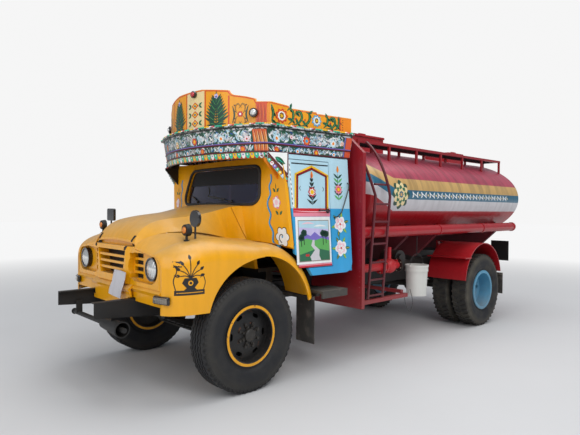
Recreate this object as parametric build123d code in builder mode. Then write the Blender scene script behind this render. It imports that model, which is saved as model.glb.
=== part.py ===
# Decorated bonneted tank truck. Millimetres, X forward, Y to the truck's left, Z up.
# The origin lies on the ground, under the middle of the truck's length.
from build123d import *
import os
from math import cos, radians, sin, sqrt

os.makedirs("parts", exist_ok=True)

# Driving dimensions
WHEELBASE = 4240
TYRE_R = 520
TYRE_W = 260
FRONT_OVERHANG = 1190
REAR_OVERHANG = 1630
HALF_WIDTH = 1200
RIM_R = 254
FRONT_TRACK_Y = 952
REAR_OUTER_Y = 1056
REAR_INNER_Y = 746
KINGPIN_Y = 830

FRONT_X = (FRONT_OVERHANG + WHEELBASE + REAR_OVERHANG) / 2 - FRONT_OVERHANG
REAR_X = FRONT_X - WHEELBASE
HUB_Z = TYRE_R
RUNNING_GAP = 0.05
PANEL_GAP = 7

# Chassis rails
RAIL_Y = 430
RAIL_TOP = 870
RAIL_DEPTH = 190
HORN_DEPTH = 135
RAIL_FLANGE = 65
RAIL_WALL = 8
HORN_TIP_X = FRONT_X + FRONT_OVERHANG
RAIL_END_X = REAR_X - 1380

# Bonnet and front sheet metal, measured forward from the front axle
SKIN = 20
BONNET_HALF = 620
SEAM_TILT = 0.43
SEAM_X = FRONT_X - 190
SEAM_Z = 1700
ARCH_X = FRONT_X - 110
ARCH_Z = 650
ARCH_R = 585

# Cab: the sides lean inward towards the top and close in a little towards the front
CAB_FLOOR_Z = 1060
CAB_SIDE_Y = 1130
CAB_BACK_X = FRONT_X - 1300
DOOR_TOP_Z = 2165
DOOR_THICK = 40
CROWN_Z = 2482

# Tank
TANK_HALF_W = 1100
TANK_HALF_H = 620
TANK_Z = 1870
TANK_FRONT_X = FRONT_X - 1750
TANK_REAR_X = REAR_X - 1330
TANK_DOME = 300

# Chassis frame: two channel rails with cut-down front horns, joined by crossmembers
CROSSMEMBER_W = 70
CROSSMEMBERS = (
    # x, middle height, depth
    (FRONT_X + 560, 730, 60),
    (FRONT_X - 250, 730, 60),
    (FRONT_X - 1150, 715, 60),
    (FRONT_X - 2200, 820, 60),
    (REAR_X + 720, 730, 60),
    (REAR_X - 640, 730, 60),
    (RAIL_END_X + 40, 775, 150),
)
DRAWBAR_HOLE_R = 9
DRAWBAR_SPAN_Y = 160
DRAWBAR_SPAN_Z = 80
with BuildPart() as chassis_frame:
    for side in (1, -1):
        with BuildSketch(Plane.YZ.offset(HORN_TIP_X)):
            with Locations((side * (RAIL_Y - RAIL_FLANGE / 2), RAIL_TOP - RAIL_DEPTH / 2)):
                Rectangle(RAIL_FLANGE, RAIL_DEPTH)
            with Locations((side * (RAIL_Y - RAIL_WALL - RAIL_FLANGE / 2), RAIL_TOP - RAIL_DEPTH / 2)):
                Rectangle(RAIL_FLANGE, RAIL_DEPTH - 2 * RAIL_WALL, mode=Mode.SUBTRACT)
        extrude(amount=-(HORN_TIP_X - RAIL_END_X))
    with BuildSketch(Plane.XZ.offset(-RAIL_Y)):
        Polygon(
            (HORN_TIP_X, RAIL_TOP - HORN_DEPTH),
            (HORN_TIP_X, RAIL_TOP - RAIL_DEPTH - 1),
            (FRONT_X + 420, RAIL_TOP - RAIL_DEPTH - 1),
            align=None,
        )
    extrude(amount=2 * RAIL_Y, mode=Mode.SUBTRACT)
    for x, z, depth in CROSSMEMBERS:
        with Locations((x, 0, z)):
            Box(CROSSMEMBER_W, 2 * (RAIL_Y - RAIL_WALL / 2), depth)
        with Locations((x + RAIL_WALL, 0, z)):
            Box(CROSSMEMBER_W, 2 * (RAIL_Y - RAIL_FLANGE), depth - 2 * RAIL_WALL, mode=Mode.SUBTRACT)
    # Drawbar holes through the rear crossmember's web
    with BuildSketch(Plane.YZ.offset(RAIL_END_X)):
        with Locations((0, 775)):
            with GridLocations(DRAWBAR_SPAN_Y, DRAWBAR_SPAN_Z, 2, 2):
                Circle(DRAWBAR_HOLE_R)
    extrude(amount=30, mode=Mode.SUBTRACT)
chassis_frame.part.label = "chassis_frame"
export_step(chassis_frame.part, "parts/chassis_frame.step")

# Engine, sump and gearbox as one plain mass on the crossmembers
ENGINE_BASE_Z = RAIL_TOP - 110
with BuildPart() as engine_block:
    with BuildSketch(Plane.XY.offset(ENGINE_BASE_Z)):
        with Locations((FRONT_X + 150, 0)):
            Rectangle(900, 520)
    extrude(amount=480)
    fillet(engine_block.edges().filter_by(Axis.X), 30)
    with BuildSketch(Plane.XY.offset(ENGINE_BASE_Z)):
        with Locations((FRONT_X + 160, 0)):
            Rectangle(560, 360)
    extrude(amount=-150)
    with BuildSketch(Plane.YZ.offset(FRONT_X - 300)):
        with Locations((0, ENGINE_BASE_Z + 100)):
            Circle(130)
    extrude(amount=-640)
engine_block.part.label = "engine_block"
export_step(engine_block.part, "parts/engine_block.step")

# Front axle: a dropped I-beam with an eye and a fixed kingpin at each end
BEAM_TOP_Z = 480
EYE_R = 38
EYE_Z = 470
EYE_H = 100
KINGPIN_R = 18
SPRING_Y_FRONT = 397
with BuildPart() as front_axle:
    with BuildSketch(Plane.YZ.offset(FRONT_X - 38)):
        with BuildLine():
            top = Polyline((-KINGPIN_Y + 15, 565), (-700, 560), (-560, BEAM_TOP_Z), (560, BEAM_TOP_Z),
                           (700, 560), (KINGPIN_Y - 15, 565))
            low = Polyline((KINGPIN_Y - 15, 475), (690, 470), (540, 400), (-540, 400),
                           (-690, 470), (-KINGPIN_Y + 15, 475))
            Line(top @ 1, low @ 0)
            Line(low @ 1, top @ 0)
        make_face()
    extrude(amount=76)
    for side in (1, -1):
        with BuildSketch(Plane.YZ.offset(FRONT_X + side * 38)):
            with Locations((0, 440)):
                Rectangle(960, 46)
        extrude(amount=-side * 26, mode=Mode.SUBTRACT)
        with Locations((FRONT_X, side * KINGPIN_Y, EYE_Z + EYE_H / 2)):
            Cylinder(EYE_R, EYE_H)
            Cylinder(KINGPIN_R, 230)
        with Locations((FRONT_X, side * SPRING_Y_FRONT, BEAM_TOP_Z + 5)):
            Box(110, 80, 20)
front_axle.part.label = "front_axle"
export_step(front_axle.part, "parts/front_axle.step")

# Steering knuckles: two bosses on the kingpin, a flange plate and the stub axle
STUB_R = 30
STUB_END_Y = 1010
with BuildPart() as knuckle_left:
    with Locations((FRONT_X, KINGPIN_Y, EYE_Z + EYE_H + 26), (FRONT_X, KINGPIN_Y, EYE_Z - 26)):
        Cylinder(EYE_R, 50)
    with Locations((FRONT_X, 890, HUB_Z)):
        Box(90, 30, 204)
    for z in (EYE_Z + EYE_H + 26, EYE_Z - 26):
        with Locations((FRONT_X, 860, z)):
            Box(60, 50, 50)
    with BuildSketch(Plane.XZ.offset(-900)):
        with Locations((FRONT_X, HUB_Z)):
            Circle(STUB_R)
    extrude(amount=-(STUB_END_Y - 900))
    with Locations((FRONT_X - 90, 880, EYE_Z - 30)):
        Box(160, 36, 24)
    with Locations((FRONT_X, KINGPIN_Y, HUB_Z)):
        Cylinder(KINGPIN_R + RUNNING_GAP, 300, mode=Mode.SUBTRACT)
knuckle_left.part.label = "knuckle_left"
export_step(knuckle_left.part, "parts/knuckle_left.step")

with BuildPart() as knuckle_right:
    mirror(knuckle_left.part, about=Plane.XZ)
knuckle_right.part.label = "knuckle_right"
export_step(knuckle_right.part, "parts/knuckle_right.step")

# Front wheel: flanged rim, dished disc with hand holes, and hub
FLANGE_R = 282
FLANGE_Y = 95
RIM_WALL = 12
DISC_HOLES = 6
with BuildPart() as wheel_front_left:
    # Half outline of rim, disc and hub: radius along X, distance out from the wheel's middle along Y
    with BuildSketch(Plane.XY):
        with BuildLine():
            Polyline(
                (RIM_R, -FLANGE_Y), (FLANGE_R, -FLANGE_Y), (FLANGE_R, -FLANGE_Y - 14),
                (RIM_R - RIM_WALL, -FLANGE_Y - 14), (RIM_R - RIM_WALL, 10), (150, 36), (100, 46), (100, 28),
                (STUB_R + RUNNING_GAP, 28), (STUB_R + RUNNING_GAP, 66), (0, 66), (0, 96), (52, 96), (58, 84),
                (58, 66), (100, 62), (150, 52), (RIM_R - 26, 34), (RIM_R - RIM_WALL, 34),
                (RIM_R - RIM_WALL, FLANGE_Y + 14), (FLANGE_R, FLANGE_Y + 14), (FLANGE_R, FLANGE_Y),
                (RIM_R, FLANGE_Y), close=True,
            )
        make_face()
    revolve(axis=Axis.Y)
    with BuildSketch(Plane.XZ.offset(-28)):
        Circle(90)
        Circle(STUB_R + RUNNING_GAP, mode=Mode.SUBTRACT)
    extrude(amount=60)
    with BuildSketch(Plane.XZ.offset(-80)):
        with PolarLocations(188, DISC_HOLES):
            SlotOverall(70, 38, rotation=90)
    extrude(amount=90, mode=Mode.SUBTRACT)
wheel_front_left.part.position = (FRONT_X, FRONT_TRACK_Y, HUB_Z)
wheel_front_left.part.label = "wheel_front_left"
export_step(wheel_front_left.part, "parts/wheel_front_left.step")

with BuildPart() as wheel_front_right:
    mirror(wheel_front_left.part, about=Plane.XZ)
wheel_front_right.part.label = "wheel_front_right"
export_step(wheel_front_right.part, "parts/wheel_front_right.step")

# Tyre: bead faces sit against the rim flanges, walls bulge to the full section width
TYRE_SEAT_R = RIM_R + 1
with BuildPart() as tyre:
    with BuildSketch(Plane.XY):
        with BuildLine():
            tread = Polyline((495, -104), (513, -92), (TYRE_R, -60), (TYRE_R, 60), (513, 92), (495, 104))
            wall_out = ThreePointArc((495, 104), (400, TYRE_W / 2), (300, FLANGE_Y))
            seat = Polyline(
                (300, FLANGE_Y), (TYRE_SEAT_R, FLANGE_Y), (TYRE_SEAT_R, -FLANGE_Y), (300, -FLANGE_Y)
            )
            wall_in = ThreePointArc((300, -FLANGE_Y), (400, -TYRE_W / 2), (495, -104))
        make_face()
    revolve(axis=Axis.Y)
for name, x, y in (
    ("tyre_front_left", FRONT_X, FRONT_TRACK_Y),
    ("tyre_front_right", FRONT_X, -FRONT_TRACK_Y),
):
    front_tyre = tyre.part.moved(Location((x, y, HUB_Z)))
    front_tyre.label = name
    export_step(front_tyre, f"parts/{name}.step")

# Rear twin tyres, one pair a side
for name, side in (("tyre_rear_left", 1), ("tyre_rear_right", -1)):
    with BuildPart() as twin_tyres:
        with Locations((REAR_X, side * REAR_OUTER_Y, HUB_Z), (REAR_X, side * REAR_INNER_Y, HUB_Z)):
            add(tyre.part)
    twin_tyres.part.label = name
    export_step(twin_tyres.part, f"parts/{name}.step")

# Rims of the rear twin wheels
AXLE_END_R = 40
with BuildPart() as rims_rear_left:
    for middle in (REAR_OUTER_Y, REAR_INNER_Y):
        with BuildSketch(Plane.XY):
            with BuildLine():
                bead_in = middle - FLANGE_Y
                bead_out = middle + FLANGE_Y
                Polyline(
                    (RIM_R, bead_in), (FLANGE_R, bead_in), (FLANGE_R, bead_in - 14),
                    (RIM_R - RIM_WALL, bead_in - 14), (RIM_R - RIM_WALL, bead_out + 14),
                    (FLANGE_R, bead_out + 14), (FLANGE_R, bead_out), (RIM_R, bead_out), close=True,
                )
            make_face()
        revolve(axis=Axis.Y)
rims_rear_left.part.position = (REAR_X, 0, HUB_Z)
rims_rear_left.part.label = "rims_rear_left"
export_step(rims_rear_left.part, "parts/rims_rear_left.step")

with BuildPart() as rims_rear_right:
    mirror(rims_rear_left.part, about=Plane.XZ)
rims_rear_right.part.label = "rims_rear_right"
export_step(rims_rear_right.part, "parts/rims_rear_right.step")

# Rear twin wheel: two dished discs back to back inside the rims, on a drum and hub
DISC_R = RIM_R - RIM_WALL
with BuildPart() as wheel_rear_left:
    # Outer disc, inner disc, then drum with hub: radius along X, place along the axle on Y
    for outline in (
        ((DISC_R, 960), (DISC_R, 990), (212, 976), (165, 918), (80, 918), (80, 903), (172, 903), (222, 954)),
        ((DISC_R, 842), (DISC_R, 812), (212, 826), (165, 888), (80, 888), (80, 903), (172, 903), (222, 848)),
        ((AXLE_END_R + RUNNING_GAP, 640), (70, 640), (70, 690), (200, 690), (200, 850), (160, 888),
         (105, 890), (105, 995), (85, 1010), (0, 1010), (0, 985), (AXLE_END_R + RUNNING_GAP, 985)),
    ):
        with BuildSketch(Plane.XY):
            with BuildLine():
                Polyline(*outline, close=True)
            make_face()
        revolve(axis=Axis.Y)
    with BuildSketch(Plane.XZ.offset(-1000)):
        with PolarLocations(196, DISC_HOLES):
            Circle(24)
    extrude(amount=90, mode=Mode.SUBTRACT)
wheel_rear_left.part.position = (REAR_X, 0, HUB_Z)
wheel_rear_left.part.label = "wheel_rear_left"
export_step(wheel_rear_left.part, "parts/wheel_rear_left.step")

with BuildPart() as wheel_rear_right:
    mirror(wheel_rear_left.part, about=Plane.XZ)
wheel_rear_right.part.label = "wheel_rear_right"
export_step(wheel_rear_right.part, "parts/wheel_rear_right.step")

# Rear axle: banjo casing with tubes and bearing ends
with BuildPart() as rear_axle:
    with BuildSketch(Plane.YZ.offset(REAR_X - 95)):
        with Locations((0, HUB_Z)):
            Circle(175)
    extrude(amount=190)
    fillet(rear_axle.edges().filter_by(GeomType.CIRCLE), 45)
    with BuildSketch(Plane.XZ.offset(-625)):
        with Locations((REAR_X, HUB_Z)):
            Circle(58)
    extrude(amount=1250)
    with BuildSketch(Plane.XZ.offset(-975)):
        with Locations((REAR_X, HUB_Z)):
            Circle(AXLE_END_R)
    extrude(amount=1950)
    with BuildSketch(Plane.YZ.offset(REAR_X + 90)):
        with Locations((0, HUB_Z)):
            Circle(80)
    extrude(amount=160, taper=14)
rear_axle.part.label = "rear_axle"
export_step(rear_axle.part, "parts/rear_axle.step")

# Leaf springs with their hangers
LEAF = 11
SPRING_WIDTH = 70
SPRINGS = (
    # axle x, spring y, seat height, half length, rise, leaves, hanger y, hanger width, hanger z and height
    (FRONT_X, SPRING_Y_FRONT, BEAM_TOP_Z + 15, 520, 70, 8, 397, 66, 662, 36),
    (REAR_X, 478, HUB_Z + 58, 620, 90, 10, 472, 82, 780, 60),
)
with BuildPart() as leaf_springs:
    for axle_x, y, seat_z, half, rise, leaves, hanger_y, hanger_w, hanger_z, hanger_h in SPRINGS:
        bend_r = (half**2 + rise**2) / (2 * rise)
        for side in (1, -1):
            with BuildSketch(Plane.XZ.offset(-side * y - SPRING_WIDTH / 2)):
                for leaf in range(leaves):
                    outer_r = bend_r - leaf * LEAF
                    reach = half * (1 - 0.75 * (leaves - 1 - leaf) / leaves)
                    centre_z = seat_z + bend_r
                    with BuildLine():
                        low = ThreePointArc(
                            (axle_x - reach, centre_z - sqrt(outer_r**2 - reach**2)),
                            (axle_x, centre_z - outer_r),
                            (axle_x + reach, centre_z - sqrt(outer_r**2 - reach**2)),
                        )
                        high_r = outer_r - LEAF
                        high = ThreePointArc(
                            (axle_x + reach, centre_z - sqrt(high_r**2 - reach**2)),
                            (axle_x, centre_z - high_r),
                            (axle_x - reach, centre_z - sqrt(high_r**2 - reach**2)),
                        )
                        Line(low @ 1, high @ 0)
                        Line(high @ 1, low @ 0)
                    make_face()
            extrude(amount=SPRING_WIDTH)
            for end in (1, -1):
                with Locations((axle_x + end * (half - 15), side * hanger_y, hanger_z)):
                    Box(50, hanger_w, hanger_h)
leaf_springs.part.label = "leaf_springs"
export_step(leaf_springs.part, "parts/leaf_springs.step")

# Propeller shaft from the gearbox to the rear axle's nose
SHAFT_FRONT = Vector(FRONT_X - 945, 0, ENGINE_BASE_Z + 100)
SHAFT_REAR = Vector(REAR_X + 256, 0, HUB_Z)
shaft_run = SHAFT_REAR - SHAFT_FRONT
with BuildPart() as driveshaft:
    with BuildSketch(Plane(origin=SHAFT_FRONT, z_dir=shaft_run)):
        Circle(42)
    extrude(amount=shaft_run.length)
driveshaft.part.label = "driveshaft"
export_step(driveshaft.part, "parts/driveshaft.step")

# Cross tube below the front horns: a thin tube, a flared sleeve at its left end and an inner stub
TUBE_X = FRONT_X + 1000
TUBE_Z = 640
with BuildPart() as front_tube:
    with BuildSketch(Plane.XZ.offset(520)):
        with Locations((TUBE_X, TUBE_Z)):
            Circle(22)
    extrude(amount=-1120)
    with BuildSketch(Plane.XZ.offset(525)):
        with Locations((TUBE_X, TUBE_Z)):
            Circle(30)
    extrude(amount=-14)
    with BuildSketch(Plane.XY):
        with BuildLine():
            Polyline((0, 190), (46, 190), (70, 560), (60, 560), (40, 205), (0, 205), close=True)
        make_face()
    flared = revolve(axis=Axis.Y, mode=Mode.PRIVATE)
    add(flared.moved(Location((TUBE_X, 0, TUBE_Z))))
    for side in (1, -1):
        with Locations((TUBE_X, side * (RAIL_Y - 30), (TUBE_Z + 765) / 2)):
            Box(60, 10, 765 - TUBE_Z)
front_tube.part.label = "front_tube"
export_step(front_tube.part, "parts/front_tube.step")

# Front panel: raised middle with the main grille, sunk side bays with small grilles and lamp bowls
PANEL_X = FRONT_X + 840
PANEL_BACK_X = FRONT_X + 745
PANEL_TOP = 1328
PANEL_LOW = 990
LAMP_Y = 715
LAMP_Z = 1154
BAY_X = FRONT_X + 780
NOSE_Y = 884
BAR_H = 22
GRILLE_BARS = 3
with BuildPart() as front_panel:
    with BuildSketch(Plane.XY.offset(PANEL_LOW)):
        with BuildLine():
            Polyline(
                (PANEL_BACK_X, -900), (FRONT_X + 800, -900), (FRONT_X + 828, -860), (FRONT_X + 832, -340),
                (PANEL_X + 14, -300), (PANEL_X + 14, 300), (FRONT_X + 832, 340), (FRONT_X + 828, 860),
                (FRONT_X + 800, 900), (PANEL_BACK_X, 900), close=True,
            )
        make_face()
    extrude(amount=PANEL_TOP - PANEL_LOW)
    with BuildSketch(Plane.YZ.offset(FRONT_X + 900)):
        for side in (1, -1):
            with Locations((side * 585, LAMP_Z)):
                SlotOverall(520, 256)
    extrude(amount=-(FRONT_X + 900 - BAY_X), mode=Mode.SUBTRACT)
    with BuildSketch(Plane.YZ.offset(FRONT_X + 900)):
        with Locations((0, 1171)):
            Trapezoid(594, 234, 76, rotation=180)
        for side in (1, -1):
            with Locations((side * 425, LAMP_Z + 8)):
                Rectangle(160, 226)
            with Locations((side * LAMP_Y, LAMP_Z)):
                Circle(88)
    extrude(amount=-300, mode=Mode.SUBTRACT)
    # Outline from the front: level over the grille, falling over the lamps, rounded down to the fenders
    with BuildSketch(Plane.YZ.offset(PANEL_BACK_X - 10)):
        with BuildLine():
            for side in (1, -1):
                Line((side * NOSE_Y, 900), (side * NOSE_Y, 1140))
                ThreePointArc((side * NOSE_Y, 1140), (side * 848, 1228), (side * 748, 1264))
                Polyline((side * 748, 1264), (side * 424, 1308), (side * 410, PANEL_TOP))
            Line((NOSE_Y, 900), (-NOSE_Y, 900))
            Line((410, PANEL_TOP), (-410, PANEL_TOP))
        make_face()
    extrude(amount=200, mode=Mode.INTERSECT)
    for bar in range(GRILLE_BARS):
        bar_z = 1171 + (bar - 1) * 60
        with Locations((PANEL_X - 6, 0, bar_z)):
            Box(24, 620, BAR_H)
        for side in (1, -1):
            with Locations((BAY_X - 10, side * 425, bar_z - 10)):
                Box(20, 190, BAR_H)
front_panel.part.label = "front_panel"
export_step(front_panel.part, "parts/front_panel.step")

# Apron under the grille: a folded sheet, creased forward, running the width between the fenders
with BuildPart() as front_apron:
    with BuildSketch(Plane.XZ.offset(-400)):
        with BuildLine():
            Polyline(
                (PANEL_X - 10, 990), (PANEL_X + 40, 950), (PANEL_X + 22, 925), (PANEL_X + 10, 780),
                (PANEL_X - 10, 780), (PANEL_X + 2, 925), (PANEL_X + 12, 948), (PANEL_X - 40, 990), close=True,
            )
        make_face()
    extrude(amount=800)
    with BuildSketch(Plane.XZ.offset(-NOSE_Y)):
        with BuildLine():
            Polyline(
                (PANEL_X - 20, 990), (PANEL_X - 4, 960), (PANEL_X - 20, 930), (PANEL_X - 20, 850),
                (PANEL_X - 40, 850), (PANEL_X - 40, 930), (PANEL_X - 26, 960), (PANEL_X - 40, 990),
                close=True,
            )
        make_face()
    extrude(amount=2 * NOSE_Y)
    with BuildSketch(Plane.YZ.offset(PANEL_X - 100)):
        for side in (1, -1):
            with Locations((side * 397, 850)):
                Rectangle(75, 60)
    extrude(amount=200, mode=Mode.SUBTRACT)
front_apron.part.label = "front_apron"
export_step(front_apron.part, "parts/front_apron.step")

# Left fender: a skin lofted from the nose to the crown over the wheel, then turned down behind it.
# Columns: x from the front axle, inner y and z, crest y and z, outer y, shoulder z
FENDER_LOW_Z = 790
FENDER_SECTIONS = (
    (825, 424, 1330, 760, 1284, 905, 1140),
    (760, 470, 1400, 800, 1330, 990, 1150),
    (560, 610, 1455, 850, 1398, 1055, 1190),
    (240, BONNET_HALF + PANEL_GAP, 1430, 880, 1405, 1090, 1230),
    (-110, BONNET_HALF + PANEL_GAP, 1385, 930, 1360, 1112, 1240),
)
with BuildPart() as fender_left:
    for x, in_y, in_z, crest_y, crest_z, out_y, shoulder_z in FENDER_SECTIONS:
        with BuildSketch(Plane.YZ.offset(FRONT_X + x)):
            with BuildLine():
                bend_y = crest_y + 0.72 * (out_y - crest_y)
                bend_z = crest_z - 0.28 * (crest_z - shoulder_z)
                Line((in_y, in_z), (crest_y, crest_z))
                ThreePointArc((crest_y, crest_z), (bend_y, bend_z), (out_y, shoulder_z))
                Polyline((out_y, shoulder_z), (out_y, FENDER_LOW_Z), (out_y - SKIN, FENDER_LOW_Z),
                         (out_y - SKIN, shoulder_z))
                ThreePointArc((out_y - SKIN, shoulder_z), (bend_y - 0.7 * SKIN, bend_z - 0.7 * SKIN),
                              (crest_y, crest_z - SKIN))
                Polyline((crest_y, crest_z - SKIN), (in_y, in_z - SKIN), (in_y, in_z))
            make_face()
    loft()
    # Rear quarter, turned about the arch's centre from the top down to behind the tyre
    x, in_y, in_z, crest_y, crest_z, out_y, shoulder_z = FENDER_SECTIONS[-1]
    with BuildSketch(Plane.YZ.offset(FRONT_X + x)):
        with BuildLine():
            Line((in_y, in_z), (crest_y, crest_z))
            bend_y = crest_y + 0.72 * (out_y - crest_y)
            bend_z = crest_z - 0.28 * (crest_z - shoulder_z)
            ThreePointArc((crest_y, crest_z), (bend_y, bend_z), (out_y, shoulder_z))
            Polyline((out_y, shoulder_z), (out_y - SKIN, shoulder_z))
            ThreePointArc((out_y - SKIN, shoulder_z), (bend_y - 0.7 * SKIN, bend_z - 0.7 * SKIN),
                          (crest_y, crest_z - SKIN))
            Polyline((crest_y, crest_z - SKIN), (in_y, in_z - SKIN), (in_y, in_z))
        make_face()
    revolve(axis=Axis((ARCH_X, 0, ARCH_Z), (0, -1, 0)), revolution_arc=78)
    with Locations((ARCH_X, 900, ARCH_Z)):
        Cylinder(ARCH_R, 800, rotation=(90, 0, 0), mode=Mode.SUBTRACT)
fender_left.part.label = "fender_left"
export_step(fender_left.part, "parts/fender_left.step")

with BuildPart() as fender_right:
    mirror(fender_left.part, about=Plane.XZ)
fender_right.part.label = "fender_right"
export_step(fender_right.part, "parts/fender_right.step")


def hood_section(x, lip_y, lip_z, edge_y, edge_z, crown_z):
    """Draw one closed section of bonnet skin: lips low at the sides, shoulders, crown in the middle."""
    with BuildSketch(Plane.YZ.offset(FRONT_X + x)) as section:
        with BuildLine():
            for inset in (0, SKIN):
                Line((-lip_y + inset, lip_z), (-edge_y + inset / 2, edge_z - inset))
                ThreePointArc((-edge_y + inset / 2, edge_z - inset), (0, crown_z - inset),
                              (edge_y - inset / 2, edge_z - inset))
                Line((edge_y - inset / 2, edge_z - inset), (lip_y - inset, lip_z))
            Line((-lip_y, lip_z), (-lip_y + SKIN, lip_z))
            Line((lip_y, lip_z), (lip_y - SKIN, lip_z))
        make_face()
    return section.sketch


# Bonnet and scuttle share one run of sections, parted on a seam that leans back towards its foot.
# Columns: x from the front axle, lip y and z, shoulder y and z, crown z
HOOD_SECTIONS = (
    (808, 416, 1336, 392, 1372, 1392),
    (700, 500, 1424, 380, 1508, 1528),
    (540, 600, 1462, 400, 1568, 1594),
    (100, BONNET_HALF, 1420, 450, 1628, 1655),
    (-430, BONNET_HALF, 1366, 520, 1690, 1716),
)
seam = Plane(origin=(SEAM_X, 0, SEAM_Z), x_dir=(0, 1, 0), z_dir=(1, 0, -SEAM_TILT))
with BuildPart() as hood:
    for row in HOOD_SECTIONS:
        add(hood_section(*row))
    loft()
with BuildPart() as bonnet:
    add(hood.part)
    split(bisect_by=seam, keep=Keep.TOP)
bonnet.part.label = "bonnet"
export_step(bonnet.part, "parts/bonnet.step")

# Cab front: windscreen wall and corner panels, lofted through plans that lean back above the scuttle.
# Columns: height, corner x and y, screen edge x and y, middle x
CAB_WALL = 40
CAB_FRONT_PLANS = (
    (CAB_FLOOR_Z, -476, 1106, -402, 720, -380),
    (1690, -432, 1054, -378, 730, -290),
    (2200, -399, 1012, -472, 645, -425),
)


def front_plan(z, corner_x, corner_y, edge_x, edge_y, middle_x, depth, setback=0):
    """Draw the cab front's closed plan at one height, with the given wall depth."""
    with BuildSketch(Plane.XY.offset(z)) as plan:
        with BuildLine():
            near = FRONT_X - setback
            far = near - depth
            for x0 in (near, far):
                Line((x0 + corner_x, -corner_y), (x0 + edge_x, -edge_y))
                ThreePointArc((x0 + edge_x, -edge_y), (x0 + middle_x, 0), (x0 + edge_x, edge_y))
                Line((x0 + edge_x, edge_y), (x0 + corner_x, corner_y))
            Line((near + corner_x, -corner_y), (far + corner_x, -corner_y))
            Line((near + corner_x, corner_y), (far + corner_x, corner_y))
        make_face()
    return plan.sketch


# Door hinge: the pins' line runs up the door's front edge, just outside the panel
HINGE_FOOT = Vector(1816.22, 1106.38, 1097.88)
HINGE_RUN = Vector(0.06822, -0.081828, 0.994309)
HINGE_BARREL_R = 11
HINGE_BARREL_H = 90
HINGE_HEIGHTS = (180, 840)


def hinge_barrels(barrel_r, barrel_h):
    """Make the door's hinge barrels along the pins' line."""
    with BuildPart() as barrels:
        for height in HINGE_HEIGHTS:
            with BuildSketch(Plane(origin=HINGE_FOOT + HINGE_RUN * (height - barrel_h / 2), z_dir=HINGE_RUN)):
                Circle(barrel_r)
            extrude(amount=barrel_h)
    return barrels.part


SCREEN_TOP = 2105
SCREEN_LOW = 1735
with BuildPart() as screen_hole:
    with BuildSketch(Plane.YZ.offset(FRONT_X - 700)):
        with BuildLine():
            Polyline((-700, SCREEN_LOW), (700, SCREEN_LOW), (625, SCREEN_TOP), (-625, SCREEN_TOP), close=True)
        make_face()
    extrude(amount=700)
    fillet(screen_hole.edges().filter_by(Axis.X), 85)

# Space kept clear of the cab over each front wheel house
HOUSE_R = 745
with BuildPart() as wheel_houses:
    with Locations((ARCH_X, 1000, ARCH_Z), (ARCH_X, -1000, ARCH_Z)):
        Cylinder(HOUSE_R, 770, rotation=(90, 0, 0))

# Everything from the cab front's face back, to trim the scuttle and bonnet
with BuildPart() as behind_cab_face:
    for row in CAB_FRONT_PLANS:
        add(front_plan(*row, depth=500))
    loft()
with BuildPart() as scuttle:
    add(hood.part)
    split(bisect_by=seam.offset(-PANEL_GAP), keep=Keep.BOTTOM)
    add(behind_cab_face.part, mode=Mode.SUBTRACT)
scuttle.part.label = "scuttle"
export_step(scuttle.part, "parts/scuttle.step")

with BuildPart() as cab_front:
    for row in CAB_FRONT_PLANS:
        add(front_plan(*row, depth=CAB_WALL))
    loft()
    add(screen_hole.part, mode=Mode.SUBTRACT)
    add(wheel_houses.part, mode=Mode.SUBTRACT)
    with Locations((FRONT_X - 420, 0, CAB_FLOOR_Z - 40)):
        Box(400, 2600, 80, mode=Mode.SUBTRACT)
    room = hinge_barrels(HINGE_BARREL_R + 5, HINGE_BARREL_H + 10)
    add(room, mode=Mode.SUBTRACT)
    mirror(room, about=Plane.XZ, mode=Mode.SUBTRACT)
cab_front.part.label = "cab_front"
export_step(cab_front.part, "parts/cab_front.step")

GLASS = 8
with BuildPart() as windscreen:
    for row in CAB_FRONT_PLANS[1:]:
        add(front_plan(*row, depth=GLASS, setback=16))
    loft()
    add(screen_hole.part, mode=Mode.INTERSECT)
windscreen.part.label = "windscreen"
export_step(windscreen.part, "parts/windscreen.step")

# Cab side plane: origin at the sill's line, X along the cab, Y up the leaning side, depth inward
side_run = Vector(850, -50, 0)
side_lean = Vector(0, -90, 1150)
side_plane = Plane(
    origin=(FRONT_X - 875, CAB_SIDE_Y, CAB_FLOOR_Z),
    x_dir=side_run,
    z_dir=side_run.cross(side_lean),
)
DOOR_FRONT_TOP = 430
DOOR_FRONT_LOW = 352
DOOR_REAR = -128
SIDE_REAR = -420
DOOR_LOW = 38
DOOR_HEIGHT = DOOR_TOP_Z - CAB_FLOOR_Z
HEADER = 50
SILL_DROP = 45
CORNER_R = 110
DOOR_CUT_R = 712

with BuildPart() as door_left:
    with BuildSketch(side_plane):
        Polygon((DOOR_FRONT_LOW, DOOR_LOW), (DOOR_FRONT_TOP, DOOR_HEIGHT), (DOOR_REAR, DOOR_HEIGHT),
                (DOOR_REAR, DOOR_LOW), align=None)
    extrude(amount=DOOR_THICK)
    with Locations((ARCH_X, 1000, ARCH_Z)):
        Cylinder(DOOR_CUT_R + PANEL_GAP, 800, rotation=(90, 0, 0), mode=Mode.SUBTRACT)
    add(hinge_barrels(HINGE_BARREL_R, HINGE_BARREL_H))
door_left.part.label = "door_left"
export_step(door_left.part, "parts/door_left.step")

with BuildPart() as door_right:
    mirror(door_left.part, about=Plane.XZ)
door_right.part.label = "door_right"
export_step(door_right.part, "parts/door_right.step")

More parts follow.
